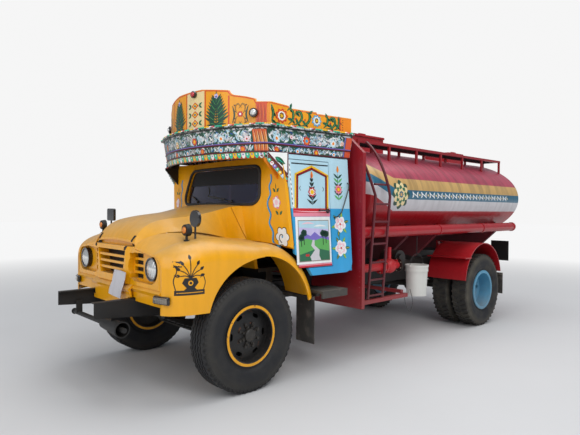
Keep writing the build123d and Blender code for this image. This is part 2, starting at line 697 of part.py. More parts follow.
with BuildPart() as cab_side_left:
    with BuildSketch(side_plane):
        Polygon((DOOR_FRONT_LOW + 2, -SILL_DROP), (DOOR_FRONT_TOP + 2, DOOR_HEIGHT + HEADER),
                (SIDE_REAR, DOOR_HEIGHT + HEADER), (SIDE_REAR, -SILL_DROP), align=None)
        # Rounded lower rear corner
        with Locations((SIDE_REAR + CORNER_R / 2, CORNER_R / 2 - SILL_DROP)):
            Rectangle(CORNER_R, CORNER_R, mode=Mode.SUBTRACT)
        with Locations((SIDE_REAR + CORNER_R, CORNER_R - SILL_DROP)):
            Circle(CORNER_R)
        Polygon((DOOR_FRONT_LOW + 20, DOOR_LOW - PANEL_GAP), (DOOR_FRONT_TOP + 20, DOOR_HEIGHT + PANEL_GAP),
                (DOOR_REAR - PANEL_GAP, DOOR_HEIGHT + PANEL_GAP),
                (DOOR_REAR - PANEL_GAP, DOOR_LOW - PANEL_GAP), align=None, mode=Mode.SUBTRACT)
    extrude(amount=CAB_WALL)
    with Locations((ARCH_X, 1000, ARCH_Z)):
        Cylinder(DOOR_CUT_R, 800, rotation=(90, 0, 0), mode=Mode.SUBTRACT)
    add(hinge_barrels(HINGE_BARREL_R + 5, HINGE_BARREL_H + 10), mode=Mode.SUBTRACT)
cab_side_left.part.label = "cab_side_left"
export_step(cab_side_left.part, "parts/cab_side_left.step")

with BuildPart() as cab_side_right:
    mirror(cab_side_left.part, about=Plane.XZ)
cab_side_right.part.label = "cab_side_right"
export_step(cab_side_right.part, "parts/cab_side_right.step")

# Cab floor: plate with two bearers down to the rails
FLOOR_THICK = 40
BEARER_X = (FRONT_X - 600, FRONT_X - 1200)
with BuildPart() as cab_floor:
    with BuildSketch(Plane.XY.offset(CAB_FLOOR_Z - FLOOR_THICK)):
        Polygon((FRONT_X - 440, -1055), (FRONT_X - 440, 1055), (FRONT_X - 1294, 1095),
                (FRONT_X - 1294, -1095), align=None)
    extrude(amount=FLOOR_THICK)
    for x in BEARER_X:
        with Locations((x, 400, (RAIL_TOP + CAB_FLOOR_Z - FLOOR_THICK) / 2),
                       (x, -400, (RAIL_TOP + CAB_FLOOR_Z - FLOOR_THICK) / 2)):
            Box(90, 400, CAB_FLOOR_Z - FLOOR_THICK - RAIL_TOP)
    add(wheel_houses.part, mode=Mode.SUBTRACT)
cab_floor.part.label = "cab_floor"
export_step(cab_floor.part, "parts/cab_floor.step")

CAB_ROOF_Z = 2440
ROOF_THICK = 24
with BuildPart() as cab_back:
    with BuildSketch(Plane.YZ.offset(CAB_BACK_X)):
        Polygon((-1110, CAB_FLOOR_Z - FLOOR_THICK), (1110, CAB_FLOOR_Z - FLOOR_THICK), (1018, 2222),
                (1018, CAB_ROOF_Z), (-1018, CAB_ROOF_Z), (-1018, 2222), align=None)
        with Locations((0, 1890)):
            Rectangle(900, 300, mode=Mode.SUBTRACT)
    extrude(amount=-CAB_WALL)
cab_back.part.label = "cab_back"
export_step(cab_back.part, "parts/cab_back.step")


def crown_plan(z, front, shoulder, side_front, side_rear, rear_x):
    """Draw the crown's closed plan: bowed front, rounded shoulders and nearly straight sides."""
    with BuildSketch(Plane.XY.offset(z)) as plan:
        with BuildLine():
            ThreePointArc((FRONT_X + shoulder, 860), (FRONT_X + front, 0), (FRONT_X + shoulder, -860))
            ThreePointArc((FRONT_X + shoulder, -860), (FRONT_X + shoulder - 50, -side_front + 28),
                          (FRONT_X + shoulder - 150, -side_front))
            Polyline((FRONT_X + shoulder - 150, -side_front), (rear_x, -side_rear), (rear_x, side_rear),
                     (FRONT_X + shoulder - 150, side_front))
            ThreePointArc((FRONT_X + shoulder - 150, side_front), (FRONT_X + shoulder - 50, side_front - 28),
                          (FRONT_X + shoulder, 860))
        make_face()
    return plan.sketch


# Canopy: the bowed visor band over the windscreen and doors, flaring out to the bead flange
CANOPY_WALL = 28
CANOPY_LOW = 2222
CANOPY_REAR = FRONT_X - 1335
with BuildPart() as canopy:
    add(crown_plan(CANOPY_LOW, -5, -222, 952, 1062, CANOPY_REAR))
    add(crown_plan(CROWN_Z - 12, 38, -178, 962, 1108, CANOPY_REAR))
    loft()
    add(crown_plan(CROWN_Z - 12, 64, -152, 988, 1134, CANOPY_REAR))
    extrude(amount=12)
    add(crown_plan(CANOPY_LOW - 1, -5 - CANOPY_WALL, -222 - CANOPY_WALL, 952 - CANOPY_WALL,
                   1062 - CANOPY_WALL, CANOPY_REAR - 1))
    add(crown_plan(CROWN_Z + 1, 38 - CANOPY_WALL, -178 - CANOPY_WALL, 962 - CANOPY_WALL,
                   1108 - CANOPY_WALL, CANOPY_REAR - 1))
    loft(mode=Mode.SUBTRACT)
canopy.part.label = "canopy"
export_step(canopy.part, "parts/canopy.step")

# Visor skirt: the band's lower edge drops in front of the windscreen and ends in a bracket at each door
with BuildPart() as visor:
    add(crown_plan(2165, -20, -237, 942, 1040, FRONT_X - 430))
    add(crown_plan(CANOPY_LOW, -5, -222, 952, 970, FRONT_X - 430))
    loft()
    add(crown_plan(2164, -20 - CANOPY_WALL, -237 - CANOPY_WALL, 942 - CANOPY_WALL, 940, FRONT_X - 700))
    add(crown_plan(CANOPY_LOW + 1, -5 - CANOPY_WALL, -222 - CANOPY_WALL, 952 - CANOPY_WALL, 940,
                   FRONT_X - 700))
    loft(mode=Mode.SUBTRACT)
    # Bracket panels at the sides, cut on a slope down to the cab's corners
    for side in (1, -1):
        with BuildSketch(Plane.XZ.offset(-side * 943)):
            Polygon((FRONT_X - 240, 2165), (FRONT_X - 440, 2165), (FRONT_X - 440, 1940),
                    (FRONT_X - 240, 2140), align=None)
        extrude(amount=side * 18)
        # Scraps of the skirt past the brackets
        with Locations((FRONT_X - 420, side * 1030, 2180)):
            Box(60, 40, 60, mode=Mode.SUBTRACT)
    add(behind_cab_face.part, mode=Mode.SUBTRACT)
visor.part.label = "visor"
export_step(visor.part, "parts/visor.step")

with BuildPart() as cab_roof:
    add(crown_plan(CAB_ROOF_Z, -5 - CANOPY_WALL, -222 - CANOPY_WALL, 948 - CANOPY_WALL,
                   1060 - CANOPY_WALL, CANOPY_REAR))
    extrude(amount=ROOF_THICK)
cab_roof.part.label = "cab_roof"
export_step(cab_roof.part, "parts/cab_roof.step")

# Crown boards: a wall standing round the roof, set in from the flange at the front corners
BOARD = 22
BOARD_PEAK = 2892
BOARD_FRONT = 12
BOARD_CORNER = (-236, 780)
BOARD_POST = (-330, 930)
BOARD_REAR_Y = 1086


def board_plan(z, inset):
    """Draw the boards' closed plan: bowed front, a flat post face at each front corner, straight sides."""
    corner_x, corner_y = BOARD_CORNER
    post_x, post_y = BOARD_POST
    with BuildSketch(Plane.XY.offset(z)) as plan:
        with BuildLine():
            near = FRONT_X - inset
            ThreePointArc((near + corner_x, corner_y - inset), (near + BOARD_FRONT, 0),
                          (near + corner_x, -corner_y + inset))
            for side in (1, -1):
                Line((near + corner_x, side * (corner_y - inset)), (near + post_x, side * (post_y - inset)))
                Line((near + post_x, side * (post_y - inset)),
                     (CANOPY_REAR + inset, side * (BOARD_REAR_Y - inset)))
            Line((CANOPY_REAR + inset, BOARD_REAR_Y - inset), (CANOPY_REAR + inset, inset - BOARD_REAR_Y))
        make_face()
    return plan.sketch


with BuildPart() as crown_boards:
    add(board_plan(CROWN_Z, 0))
    extrude(amount=BOARD_PEAK - CROWN_Z)
    add(board_plan(CROWN_Z, BOARD))
    extrude(amount=BOARD_PEAK - CROWN_Z, mode=Mode.SUBTRACT)
    # Side profile cut from above, behind the front corner posts
    with BuildSketch(Plane.XZ.offset(-HALF_WIDTH)):
        Polygon(
            (FRONT_X - 250, 3000), (FRONT_X - 250, 2722), (FRONT_X - 530, 2696), (FRONT_X - 536, 2674),
            (FRONT_X - 870, 2670), (FRONT_X - 876, 2656), (FRONT_X - 1500, 2654), (FRONT_X - 1500, 3000),
            align=None,
        )
    extrude(amount=2 * HALF_WIDTH, mode=Mode.SUBTRACT)
    # Front profile cut from above
    with BuildSketch(Plane.YZ.offset(FRONT_X - 250)):
        with BuildLine():
            for side in (1, -1):
                Polyline((side * 1300, 3000), (side * 1300, 2716), (side * 885, 2720), (side * 710, 2776),
                         (side * 590, 2800))
                ThreePointArc((side * 590, 2800), (side * 560, 2815), (side * 535, 2850))
                Line((side * 535, 2850), (side * 220, BOARD_PEAK - 1))
            Line((220, BOARD_PEAK - 1), (-220, BOARD_PEAK - 1))
            Line((1300, 3000), (-1300, 3000))
        make_face()
    extrude(amount=500, mode=Mode.SUBTRACT)
crown_boards.part.label = "crown_boards"
export_step(crown_boards.part, "parts/crown_boards.step")

# Cab interior: dash shelf, bench with backrest, and the steering wheel on the right
with BuildPart() as dashboard:
    with BuildSketch(Plane.XZ.offset(-980)):
        Polygon((FRONT_X - 560, 1690), (FRONT_X - 560, 1660), (FRONT_X - 640, 1560), (FRONT_X - 600, 1480),
                (FRONT_X - 560, 1480), (FRONT_X - 520, 1690), align=None)
    extrude(amount=1960)
dashboard.part.label = "dashboard"
export_step(dashboard.part, "parts/dashboard.step")

WHEEL_TILT = 32
STEERING_R = 215
DRIVER_Y = -480
with BuildPart() as steering_wheel:
    steering_plane = Plane(
        origin=(FRONT_X - 760, DRIVER_Y, 1640),
        x_dir=(0, 1, 0),
        z_dir=(-sin(radians(90 - WHEEL_TILT)) * 0.6, 0, 1),
    )
    with Locations(steering_plane):
        Torus(STEERING_R, 14)
        Cylinder(40, 40)
        Box(2 * STEERING_R, 26, 12)
        Cylinder(24, 620, align=(Align.CENTER, Align.CENTER, Align.MAX))
steering_wheel.part.label = "steering_wheel"
export_step(steering_wheel.part, "parts/steering_wheel.step")

with BuildPart() as seat:
    with Locations((FRONT_X - 1050, 0, 1300)):
        Box(440, 1800, 140)
    with Locations((FRONT_X - 1230, 0, 1560)):
        Box(110, 1800, 420)
    with Locations((FRONT_X - 1050, 0, 1145)):
        Box(380, 1700, 170)
seat.part.label = "seat"
export_step(seat.part, "parts/seat.step")

# Bulkhead behind the cab: flat frame plate with flanged outer edges and cut upper corners
BULKHEAD_X = FRONT_X - 1400
with BuildPart() as bulkhead:
    with BuildSketch(Plane.YZ.offset(BULKHEAD_X)):
        Polygon((-HALF_WIDTH, 600), (HALF_WIDTH, 600), (HALF_WIDTH, 2290), (1000, 2470), (-1000, 2470),
                (-HALF_WIDTH, 2290), align=None)
    extrude(amount=-50)
    with BuildSketch(Plane.YZ.offset(BULKHEAD_X - 60)):
        Polygon((-RAIL_Y - 12, 500), (RAIL_Y + 12, 500), (RAIL_Y + 12, RAIL_TOP), (-RAIL_Y - 12, RAIL_TOP),
                align=None)
    extrude(amount=80, mode=Mode.SUBTRACT)
bulkhead.part.label = "bulkhead"
export_step(bulkhead.part, "parts/bulkhead.step")


# Tank: straight elliptical barrel with dished ends and welded bands
FRONT_DISH = 180
with BuildPart() as round_tank:
    with BuildSketch(Plane.XZ):
        with BuildLine():
            Line((TANK_REAR_X, TANK_HALF_H), (TANK_FRONT_X, TANK_HALF_H))
            ThreePointArc((TANK_FRONT_X, TANK_HALF_H), (TANK_FRONT_X + 48, 588), (TANK_FRONT_X + 72, 530))
            ThreePointArc((TANK_FRONT_X + 72, 530), (TANK_FRONT_X + 150, 270), (TANK_FRONT_X + FRONT_DISH, 0))
            Line((TANK_FRONT_X + FRONT_DISH, 0), (TANK_REAR_X - TANK_DOME, 0))
            ThreePointArc((TANK_REAR_X - TANK_DOME, 0), (TANK_REAR_X - 262, 270), (TANK_REAR_X - 140, 500))
            ThreePointArc((TANK_REAR_X - 140, 500), (TANK_REAR_X - 84, 583), (TANK_REAR_X, TANK_HALF_H))
        make_face()
    revolve(axis=Axis.X)
with BuildPart() as tank:
    add(scale(round_tank.part, by=(1, TANK_HALF_W / TANK_HALF_H, 1), mode=Mode.PRIVATE).moved(
        Location((0, 0, TANK_Z))))
tank.part.label = "tank"
export_step(tank.part, "parts/tank.step")

# Saddles: cradles shaped to the barrel, on long bearers along the rails
SADDLE_X = (TANK_FRONT_X - 200, TANK_FRONT_X - 950, TANK_FRONT_X - 1650, TANK_REAR_X + 370)
BEARER_H = 90
with BuildPart() as tank_saddles:
    for side in (1, -1):
        with BuildSketch(Plane.YZ.offset(TANK_FRONT_X)):
            with Locations((side * (RAIL_Y - 40), RAIL_TOP + BEARER_H / 2)):
                Rectangle(80, BEARER_H)
        extrude(amount=TANK_REAR_X - TANK_FRONT_X + 20)
    for x in SADDLE_X:
        with BuildSketch(Plane.YZ.offset(x)):
            Polygon((-470, RAIL_TOP + BEARER_H), (470, RAIL_TOP + BEARER_H), (870, 1330), (870, 1480),
                    (-870, 1480), (-870, 1330), align=None)
        extrude(amount=-70)
    with BuildSketch(Plane.YZ.offset(TANK_REAR_X - 50)):
        with Locations((0, TANK_Z)):
            Ellipse(TANK_HALF_W, TANK_HALF_H)
    extrude(amount=4000, mode=Mode.SUBTRACT)
tank_saddles.part.label = "tank_saddles"
export_step(tank_saddles.part, "parts/tank_saddles.step")

# Hatches on top of the tank: fixed necks with hinge ears, and a hinged lid on each.
# Columns: lid name, neck's middle x, half length, half width, rise over the tank's top
TANK_TOP = TANK_Z + TANK_HALF_H
LID_THICK = 26
LID_SEAL = 1
LID_HINGE_R = 10
LID_HINGE_W = 60
HATCHES = (
    ("manhole_lid_front", TANK_FRONT_X - 850, 450, 270, 180),
    ("manhole_lid_rear", REAR_X - 860, 260, 240, 130),
)
with BuildPart() as manhole_necks:
    for name, x, half_x, half_y, rise in HATCHES:
        with BuildSketch(Plane.XY.offset(TANK_TOP - 120)):
            with Locations((x, 0)):
                Rectangle(2 * half_x - 40, 2 * half_y - 40)
                Rectangle(2 * half_x - 72, 2 * half_y - 72, mode=Mode.SUBTRACT)
        extrude(amount=rise + 120)
        for end in (1, -1):
            with Locations((x + end * (0.6 * half_x - LID_HINGE_W), -half_y, TANK_TOP + rise)):
                Cylinder(LID_HINGE_R, LID_HINGE_W - 2, rotation=(0, 90, 0))
            with Locations((x + end * (0.6 * half_x - LID_HINGE_W), -half_y + 15, TANK_TOP + rise - 12)):
                Box(LID_HINGE_W - 2, 40, 16)
    with BuildSketch(Plane.YZ.offset(TANK_REAR_X)):
        with Locations((0, TANK_Z)):
            Ellipse(TANK_HALF_W, TANK_HALF_H)
    extrude(amount=TANK_FRONT_X - TANK_REAR_X, mode=Mode.SUBTRACT)
manhole_necks.part.label = "manhole_necks"
export_step(manhole_necks.part, "parts/manhole_necks.step")

for name, x, half_x, half_y, rise in HATCHES:
    with BuildPart() as manhole_lid:
        with Locations((x, 0, TANK_TOP + rise + LID_SEAL + LID_THICK / 2)):
            Box(2 * half_x, 2 * half_y, LID_THICK)
        fillet(manhole_lid.edges().filter_by(Axis.Z), 30)
        with Locations((x, half_y - 60, TANK_TOP + rise + LID_SEAL + LID_THICK + 12)):
            Box(140, 20, 24)
        for end in (1, -1):
            with Locations((x + end * 0.6 * half_x, -half_y, TANK_TOP + rise)):
                Cylinder(LID_HINGE_R, LID_HINGE_W - 2, rotation=(0, 90, 0))
            with Locations((x + end * (0.6 * half_x - LID_HINGE_W), -half_y, TANK_TOP + rise)):
                Cylinder(LID_HINGE_R + 3, LID_HINGE_W, rotation=(0, 90, 0), mode=Mode.SUBTRACT)
    manhole_lid.part.label = name
    export_step(manhole_lid.part, f"parts/{name}.step")

# Side tubes: a hose carrier along each side, with coupling bands, end caps and arms to the saddles
HOSE_Y = 1055
HOSE_Z = 1418
HOSE_R = 65
HOSE_FRONT_X = BULKHEAD_X - 50
HOSE_REAR_X = REAR_X - 1190
with BuildPart() as hose_tubes:
    for side in (1, -1):
        with BuildSketch(Plane.YZ.offset(HOSE_FRONT_X)):
            with Locations((side * HOSE_Y, HOSE_Z)):
                Circle(HOSE_R)
        extrude(amount=HOSE_REAR_X - HOSE_FRONT_X)
        for x in (HOSE_FRONT_X - 260, HOSE_FRONT_X - 1700, HOSE_FRONT_X - 2900, HOSE_REAR_X + 40):
            with BuildSketch(Plane.YZ.offset(x)):
                with Locations((side * HOSE_Y, HOSE_Z)):
                    Circle(HOSE_R + 7)
            extrude(amount=-34)
        for x in SADDLE_X:
            with Locations((x - 35, side * 935, HOSE_Z)):
                Box(40, 130, 24)
hose_tubes.part.label = "hose_tubes"
export_step(hose_tubes.part, "parts/hose_tubes.step")

# Ladder on the left: two tubes that lean out past the hose tube, then bend over the tank
LADDER_X = (FRONT_X - 1650, FRONT_X - 1920)
LADDER_R = 16
RUNG_R = 12
RUNG_HEIGHTS = (700, 880, 1080, 1290, 1540, 1740, 1960)
LADDER_FOOT = (1085, 664)
LADDER_KNEE = (1180, 1830)
LADDER_TOP = (836, 2476)
with BuildPart() as ladder:
    for x in LADDER_X:
        with BuildLine(Plane.YZ.offset(x)):
            shaft = Line(LADDER_FOOT, LADDER_KNEE)
            TangentArc(LADDER_KNEE, LADDER_TOP,
                       tangent=(LADDER_KNEE[0] - LADDER_FOOT[0], LADDER_KNEE[1] - LADDER_FOOT[1]))
        with BuildSketch(Plane(origin=shaft @ 0, z_dir=shaft % 0)):
            Circle(LADDER_R)
        sweep()
    foot_y, foot_z = LADDER_FOOT
    knee_y, knee_z = LADDER_KNEE
    for z in RUNG_HEIGHTS:
        y = foot_y + (knee_y - foot_y) * (min(z, knee_z) - foot_z) / (knee_z - foot_z)
        with BuildSketch(Plane.YZ.offset(LADDER_X[0])):
            with Locations((y - max(0, z - knee_z) * 0.12, z)):
                Circle(RUNG_R)
        extrude(amount=LADDER_X[1] - LADDER_X[0])
ladder.part.label = "ladder"
export_step(ladder.part, "parts/ladder.step")

# Walkways along both sides of the tank top: frame with cross slats on short posts
WALK_FRONT_X = FRONT_X - 1780
WALK_REAR_X = TANK_REAR_X + 60
WALK_Z = 2490
WALK_OUT_Y = 800
WALK_IN_Y = 520
WALK_POSTS = 7
walk_length = WALK_FRONT_X - WALK_REAR_X
walk_middle = (WALK_FRONT_X + WALK_REAR_X) / 2
with BuildPart() as walkways:
    for side in (1, -1):
        for y in (WALK_OUT_Y, WALK_IN_Y):
            with Locations((walk_middle, side * y, WALK_Z)):
                Box(walk_length, 30, 34)
        with Locations((walk_middle, side * (WALK_OUT_Y + WALK_IN_Y) / 2, WALK_Z)):
            with GridLocations(walk_length / 20, 1, 20, 1):
                Box(34, WALK_OUT_Y - WALK_IN_Y, 16)
        with Locations((walk_middle, side * WALK_OUT_Y, WALK_Z - 150)):
            with GridLocations((walk_length - 40) / (WALK_POSTS - 1), 1, WALK_POSTS, 1):
                Box(36, 24, 300)
        with Locations((walk_middle, side * WALK_IN_Y, WALK_Z - 100)):
            with GridLocations((walk_length - 40) / (WALK_POSTS - 1), 1, WALK_POSTS, 1):
                Box(36, 24, 200)
    with BuildSketch(Plane.YZ.offset(TANK_REAR_X - 50)):
        with Locations((0, TANK_Z)):
            Ellipse(TANK_HALF_W, TANK_HALF_H)
    extrude(amount=4000, mode=Mode.SUBTRACT)
walkways.part.label = "walkways"
export_step(walkways.part, "parts/walkways.step")

# Rear fenders: arched sheets over the twin tyres with an outer lip, a level shelf in front and stays
REAR_ARCH_X = REAR_X + 40
REAR_ARCH_Z = 665
REAR_ARCH_R = 530
REAR_ARCH_IN_Y = 600
ARCH_SHEET = 12
ARCH_FROM = 4
ARCH_TO = 170
SHELF_Z = 1012
SHELF_X = 460
with BuildPart() as rear_fenders:
    for side in (1, -1):
        with BuildSketch(Plane.XZ.offset(-side * HALF_WIDTH)):
            with BuildLine():
                for radius in (REAR_ARCH_R + ARCH_SHEET, REAR_ARCH_R):
                    CenterArc((REAR_ARCH_X, REAR_ARCH_Z), radius, ARCH_FROM, ARCH_TO - ARCH_FROM)
                for angle in (ARCH_FROM, ARCH_TO):
                    Line(
                        (REAR_ARCH_X + (REAR_ARCH_R + ARCH_SHEET) * cos(radians(angle)),
                         REAR_ARCH_Z + (REAR_ARCH_R + ARCH_SHEET) * sin(radians(angle))),
                        (REAR_ARCH_X + REAR_ARCH_R * cos(radians(angle)),
                         REAR_ARCH_Z + REAR_ARCH_R * sin(radians(angle))),
                    )
            make_face()
        extrude(amount=side * (HALF_WIDTH - REAR_ARCH_IN_Y))
        with Locations((REAR_ARCH_X + SHELF_X, side * (HALF_WIDTH + REAR_ARCH_IN_Y) / 2, SHELF_Z)):
            Box(170, HALF_WIDTH - REAR_ARCH_IN_Y, 16)
        with Locations((REAR_ARCH_X, side * 520, REAR_ARCH_Z + REAR_ARCH_R + ARCH_SHEET / 2)):
            Box(60, 200, 12)
        with Locations((REAR_ARCH_X, side * 446, 1030)):
            Box(60, 30, 330)
rear_fenders.part.label = "rear_fenders"
export_step(rear_fenders.part, "parts/rear_fenders.step")

# Mud flaps on bars from the rails. Columns: x, inner y, outer y, low z, top z
MUD_FLAPS = (
    (FRONT_X - 814, 800, 1060, 300, 790),
    (REAR_X - 610, 640, 1180, 400, 720),
)
with BuildPart() as mud_flaps:
    for x, in_y, out_y, low_z, top_z in MUD_FLAPS:
        for side in (1, -1):
            with Locations((x, side * (in_y + out_y) / 2, (low_z + top_z) / 2)):
                Box(10, out_y - in_y, top_z - low_z)
            with Locations((x + 14, side * (RAIL_Y + out_y) / 2, top_z - 20)):
                Box(24, out_y - RAIL_Y, 34)
mud_flaps.part.label = "mud_flaps"
export_step(mud_flaps.part, "parts/mud_flaps.step")

# Discharge pipework under the left side: outlet from the tank, flanged line with a valve, and a pump
PIPE_Z = 985
PIPE_Y = 900
PIPE_FRONT_X = FRONT_X - 1700
PIPE_REAR_X = FRONT_X - 2490
FLANGE_PCD = 144
FLANGE_HOLES = 6
with BuildPart() as pipework:
    with BuildSketch(Plane.YZ.offset(PIPE_FRONT_X)):
        with Locations((PIPE_Y, PIPE_Z)):
            Circle(48)
    extrude(amount=PIPE_REAR_X - PIPE_FRONT_X)
    for x in (PIPE_FRONT_X + 20, PIPE_FRONT_X - 420, PIPE_FRONT_X - 470, PIPE_FRONT_X - 760):
        with BuildSketch(Plane.YZ.offset(x)):
            with Locations((PIPE_Y, PIPE_Z)):
                Circle(88)
        extrude(amount=-22)
    # Bolt holes in the front flange, for an outlet hose or a blanking plate
    with BuildSketch(Plane.YZ.offset(PIPE_FRONT_X + 20)):
        with Locations((PIPE_Y, PIPE_Z)):
            with PolarLocations(FLANGE_PCD / 2, FLANGE_HOLES):
                Circle(8)
    extrude(amount=-22, mode=Mode.SUBTRACT)
    with Locations((PIPE_FRONT_X - 600, PIPE_Y, PIPE_Z)):
        Sphere(92)
        Cylinder(26, 230, align=(Align.CENTER, Align.CENTER, Align.MIN))
    with Locations((PIPE_REAR_X - 90, 750, PIPE_Z + 60)):
        Cylinder(115, 240, rotation=(90, 0, 0))
        Cylinder(70, 300, rotation=(90, 0, 0))
    with Locations((PIPE_REAR_X + 20, 820, PIPE_Z + 30)):
        Box(60, 200, 70)
    with Locations((PIPE_REAR_X - 80, 620, PIPE_Z - 30)):
        Box(200, 380, 60)
    with Locations((PIPE_FRONT_X - 445, 665, PIPE_Z - 20)):
        Box(60, 470, 40)
pipework.part.label = "pipework"
export_step(pipework.part, "parts/pipework.step")

# Low side bars from the bulkhead past the ladder's foot
SIDE_BAR_Z = 680
with BuildPart() as side_bars:
    for side in (1, -1):
        with Locations((FRONT_X - 1925, side * 1085, SIDE_BAR_Z - 42)):
            Box(950, 50, 44)
        for x in (FRONT_X - 1560, FRONT_X - 2350):
            with Locations((x, side * (RAIL_Y + 1060) / 2, SIDE_BAR_Z - 2)):
                Box(50, 1060 - RAIL_Y, 40)
side_bars.part.label = "side_bars"
export_step(side_bars.part, "parts/side_bars.step")

# Pail behind the pump, hung by its bail from a hook under the side tube
PAIL_X = FRONT_X - 2680
PAIL_Y = 1050
PAIL_LOW = 600
PAIL_TOP = 985
PAIL_R = 142
BAIL_R = 150
WIRE_R = 4
with BuildPart() as pail:
    with BuildSketch(Plane.XZ):
        with BuildLine():
            Polyline(
                (0, PAIL_LOW), (122, PAIL_LOW), (136, 905), (144, 905), (144, 925), (PAIL_R, 925),
                (PAIL_R, 960), (148, 960), (148, PAIL_TOP), (138, PAIL_TOP), (118, PAIL_LOW + 6),
                (0, PAIL_LOW + 6), close=True,
            )
        make_face()
    revolve(axis=Axis.Z)
    # Bail over the rim, with an ear at each end, and the hook it hangs from
    with BuildLine(Plane.XZ):
        bail = CenterArc((0, PAIL_TOP - 15), BAIL_R, 0, 180)
    with BuildSketch(Plane(origin=bail @ 0, z_dir=bail % 0)):
        Circle(WIRE_R)
    sweep()
    with Locations((0, 0, PAIL_TOP - 15)):
        Cylinder(8, 2 * BAIL_R + 8, rotation=(0, 90, 0))
        Cylinder(8, 2 * BAIL_R - 12, rotation=(0, 90, 0), mode=Mode.SUBTRACT)
    with BuildSketch(Plane.XY.offset(PAIL_TOP - 18 + BAIL_R)):
        Circle(WIRE_R + 1)
    extrude(amount=HOSE_Z - HOSE_R - PAIL_TOP + 17 - BAIL_R)
pail.part.position = (PAIL_X, PAIL_Y, 0)
pail.part.label = "pail"
export_step(pail.part, "parts/pail.step")

# Headlights: dark bowls with a rim, a domed lens in each
LENS_R = 89
with BuildPart() as headlight_bowls:
    for side in (1, -1):
        with BuildSketch(Plane.YZ.offset(BAY_X - 60)):
            with Locations((side * LAMP_Y, LAMP_Z)):
                Circle(86)
        extrude(amount=60)
        with BuildSketch(Plane.YZ.offset(BAY_X)):
            with Locations((side * LAMP_Y, LAMP_Z)):
                Circle(104)
        extrude(amount=44, taper=4)
        with BuildSketch(Plane.YZ.offset(BAY_X + 44)):
            with Locations((side * LAMP_Y, LAMP_Z)):
                Circle(LENS_R + 1)
        extrude(amount=-30, mode=Mode.SUBTRACT)
headlight_bowls.part.label = "headlight_bowls"
export_step(headlight_bowls.part, "parts/headlight_bowls.step")

LENS_RISE = 22
with BuildPart() as headlight_lenses:
    lens_sphere_r = (LENS_R**2 + LENS_RISE**2) / (2 * LENS_RISE)
    for side in (1, -1):
        with Locations((BAY_X + 36 + LENS_RISE - lens_sphere_r, side * LAMP_Y, LAMP_Z)):
            Sphere(lens_sphere_r)
    with BuildSketch(Plane.YZ.offset(BAY_X + 14)):
        for side in (1, -1):
            with Locations((side * LAMP_Y, LAMP_Z)):
                Circle(LENS_R)
    extrude(amount=100, mode=Mode.INTERSECT)
headlight_lenses.part.label = "headlight_lenses"
export_step(headlight_lenses.part, "parts/headlight_lenses.step")

# Indicators on short stalks on the fender tops, a round mirror behind the left one, a square one on the right
STALK_X = FRONT_X + 565
STALK_Y = 865
STALK_FOOT = 1384
LAMP_RISE = 104
MIRROR_RISE = 201
with BuildPart() as indicators:
    for side in (1, -1):
        with Locations((STALK_X, side * STALK_Y, STALK_FOOT)):
            Cylinder(11, 60, align=(Align.CENTER, Align.CENTER, Align.MIN))
            Cylinder(26, 22, align=(Align.CENTER, Align.CENTER, Align.MIN))
        with BuildSketch(Plane.YZ.offset(STALK_X - 22)):
            with Locations((side * STALK_Y, STALK_FOOT + LAMP_RISE)):
                Circle(54)
        extrude(amount=44, taper=8)
    add([fender_left.part, fender_right.part], mode=Mode.SUBTRACT)
indicators.part.label = "indicators"
export_step(indicators.part, "parts/indicators.step")

with BuildPart() as mirrors:
    for side in (1, -1):
        with Locations((STALK_X - 90, side * (STALK_Y - 6), STALK_FOOT + 16)):
            Cylinder(9, 140, align=(Align.CENTER, Align.CENTER, Align.MIN))
    with BuildSketch(Plane.YZ.offset(STALK_X - 104)):
        with Locations((STALK_Y - 6, STALK_FOOT + MIRROR_RISE)):
            Circle(74)
        with Locations((6 - STALK_Y, STALK_FOOT + MIRROR_RISE + 15)):
            RectangleRounded(170, 135, 22)
    extrude(amount=26)
    add([fender_left.part, fender_right.part], mode=Mode.SUBTRACT)
mirrors.part.label = "mirrors"
export_step(mirrors.part, "parts/mirrors.step")

# Steps below the doors: tread plate with folded skirt on two arms from the rail
with BuildPart() as steps:
    for side in (1, -1):
        with Locations((FRONT_X - 1010, side * 1035, 835)):
            Box(380, 270, 26)
        with Locations((FRONT_X - 1010, side * 1160, 800)):
            Box(380, 20, 50)
        for x in (FRONT_X - 1160, FRONT_X - 880):
            with Locations((x, side * 740, 802)):
                Box(50, 620, 40)
steps.part.label = "steps"
export_step(steps.part, "parts/steps.step")

# Rear lamp boards on arms from the rail ends, a dark plate with three lamps each
LAMP_BOARD_X = RAIL_END_X + 30
with BuildPart() as lamp_boards:
    for side in (1, -1):
        with Locations((LAMP_BOARD_X, side * 790, 1005)):
            Box(12, 300, 330)
        with Locations((LAMP_BOARD_X + 26, side * 555, 850)):
            Box(40, 250, 40)
        for lamp in range(3):
            with Locations((LAMP_BOARD_X - 16, side * (700 + 90 * lamp), 1060)):
                Cylinder(28, 22, rotation=(0, 90, 0))
lamp_boards.part.label = "lamp_boards"
export_step(lamp_boards.part, "parts/lamp_boards.step")
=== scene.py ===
"""Dress the decorated bonneted tank truck: finishes, painted ornament, trim, tyres, light and camera."""

import logging
import math
import random
from dataclasses import dataclass, field
from enum import Enum
from typing import Any, Callable, Sequence

import bmesh
import bpy
from mathutils import Matrix, Vector
from mathutils.bvhtree import BVHTree
from mathutils.geometry import tessellate_polygon


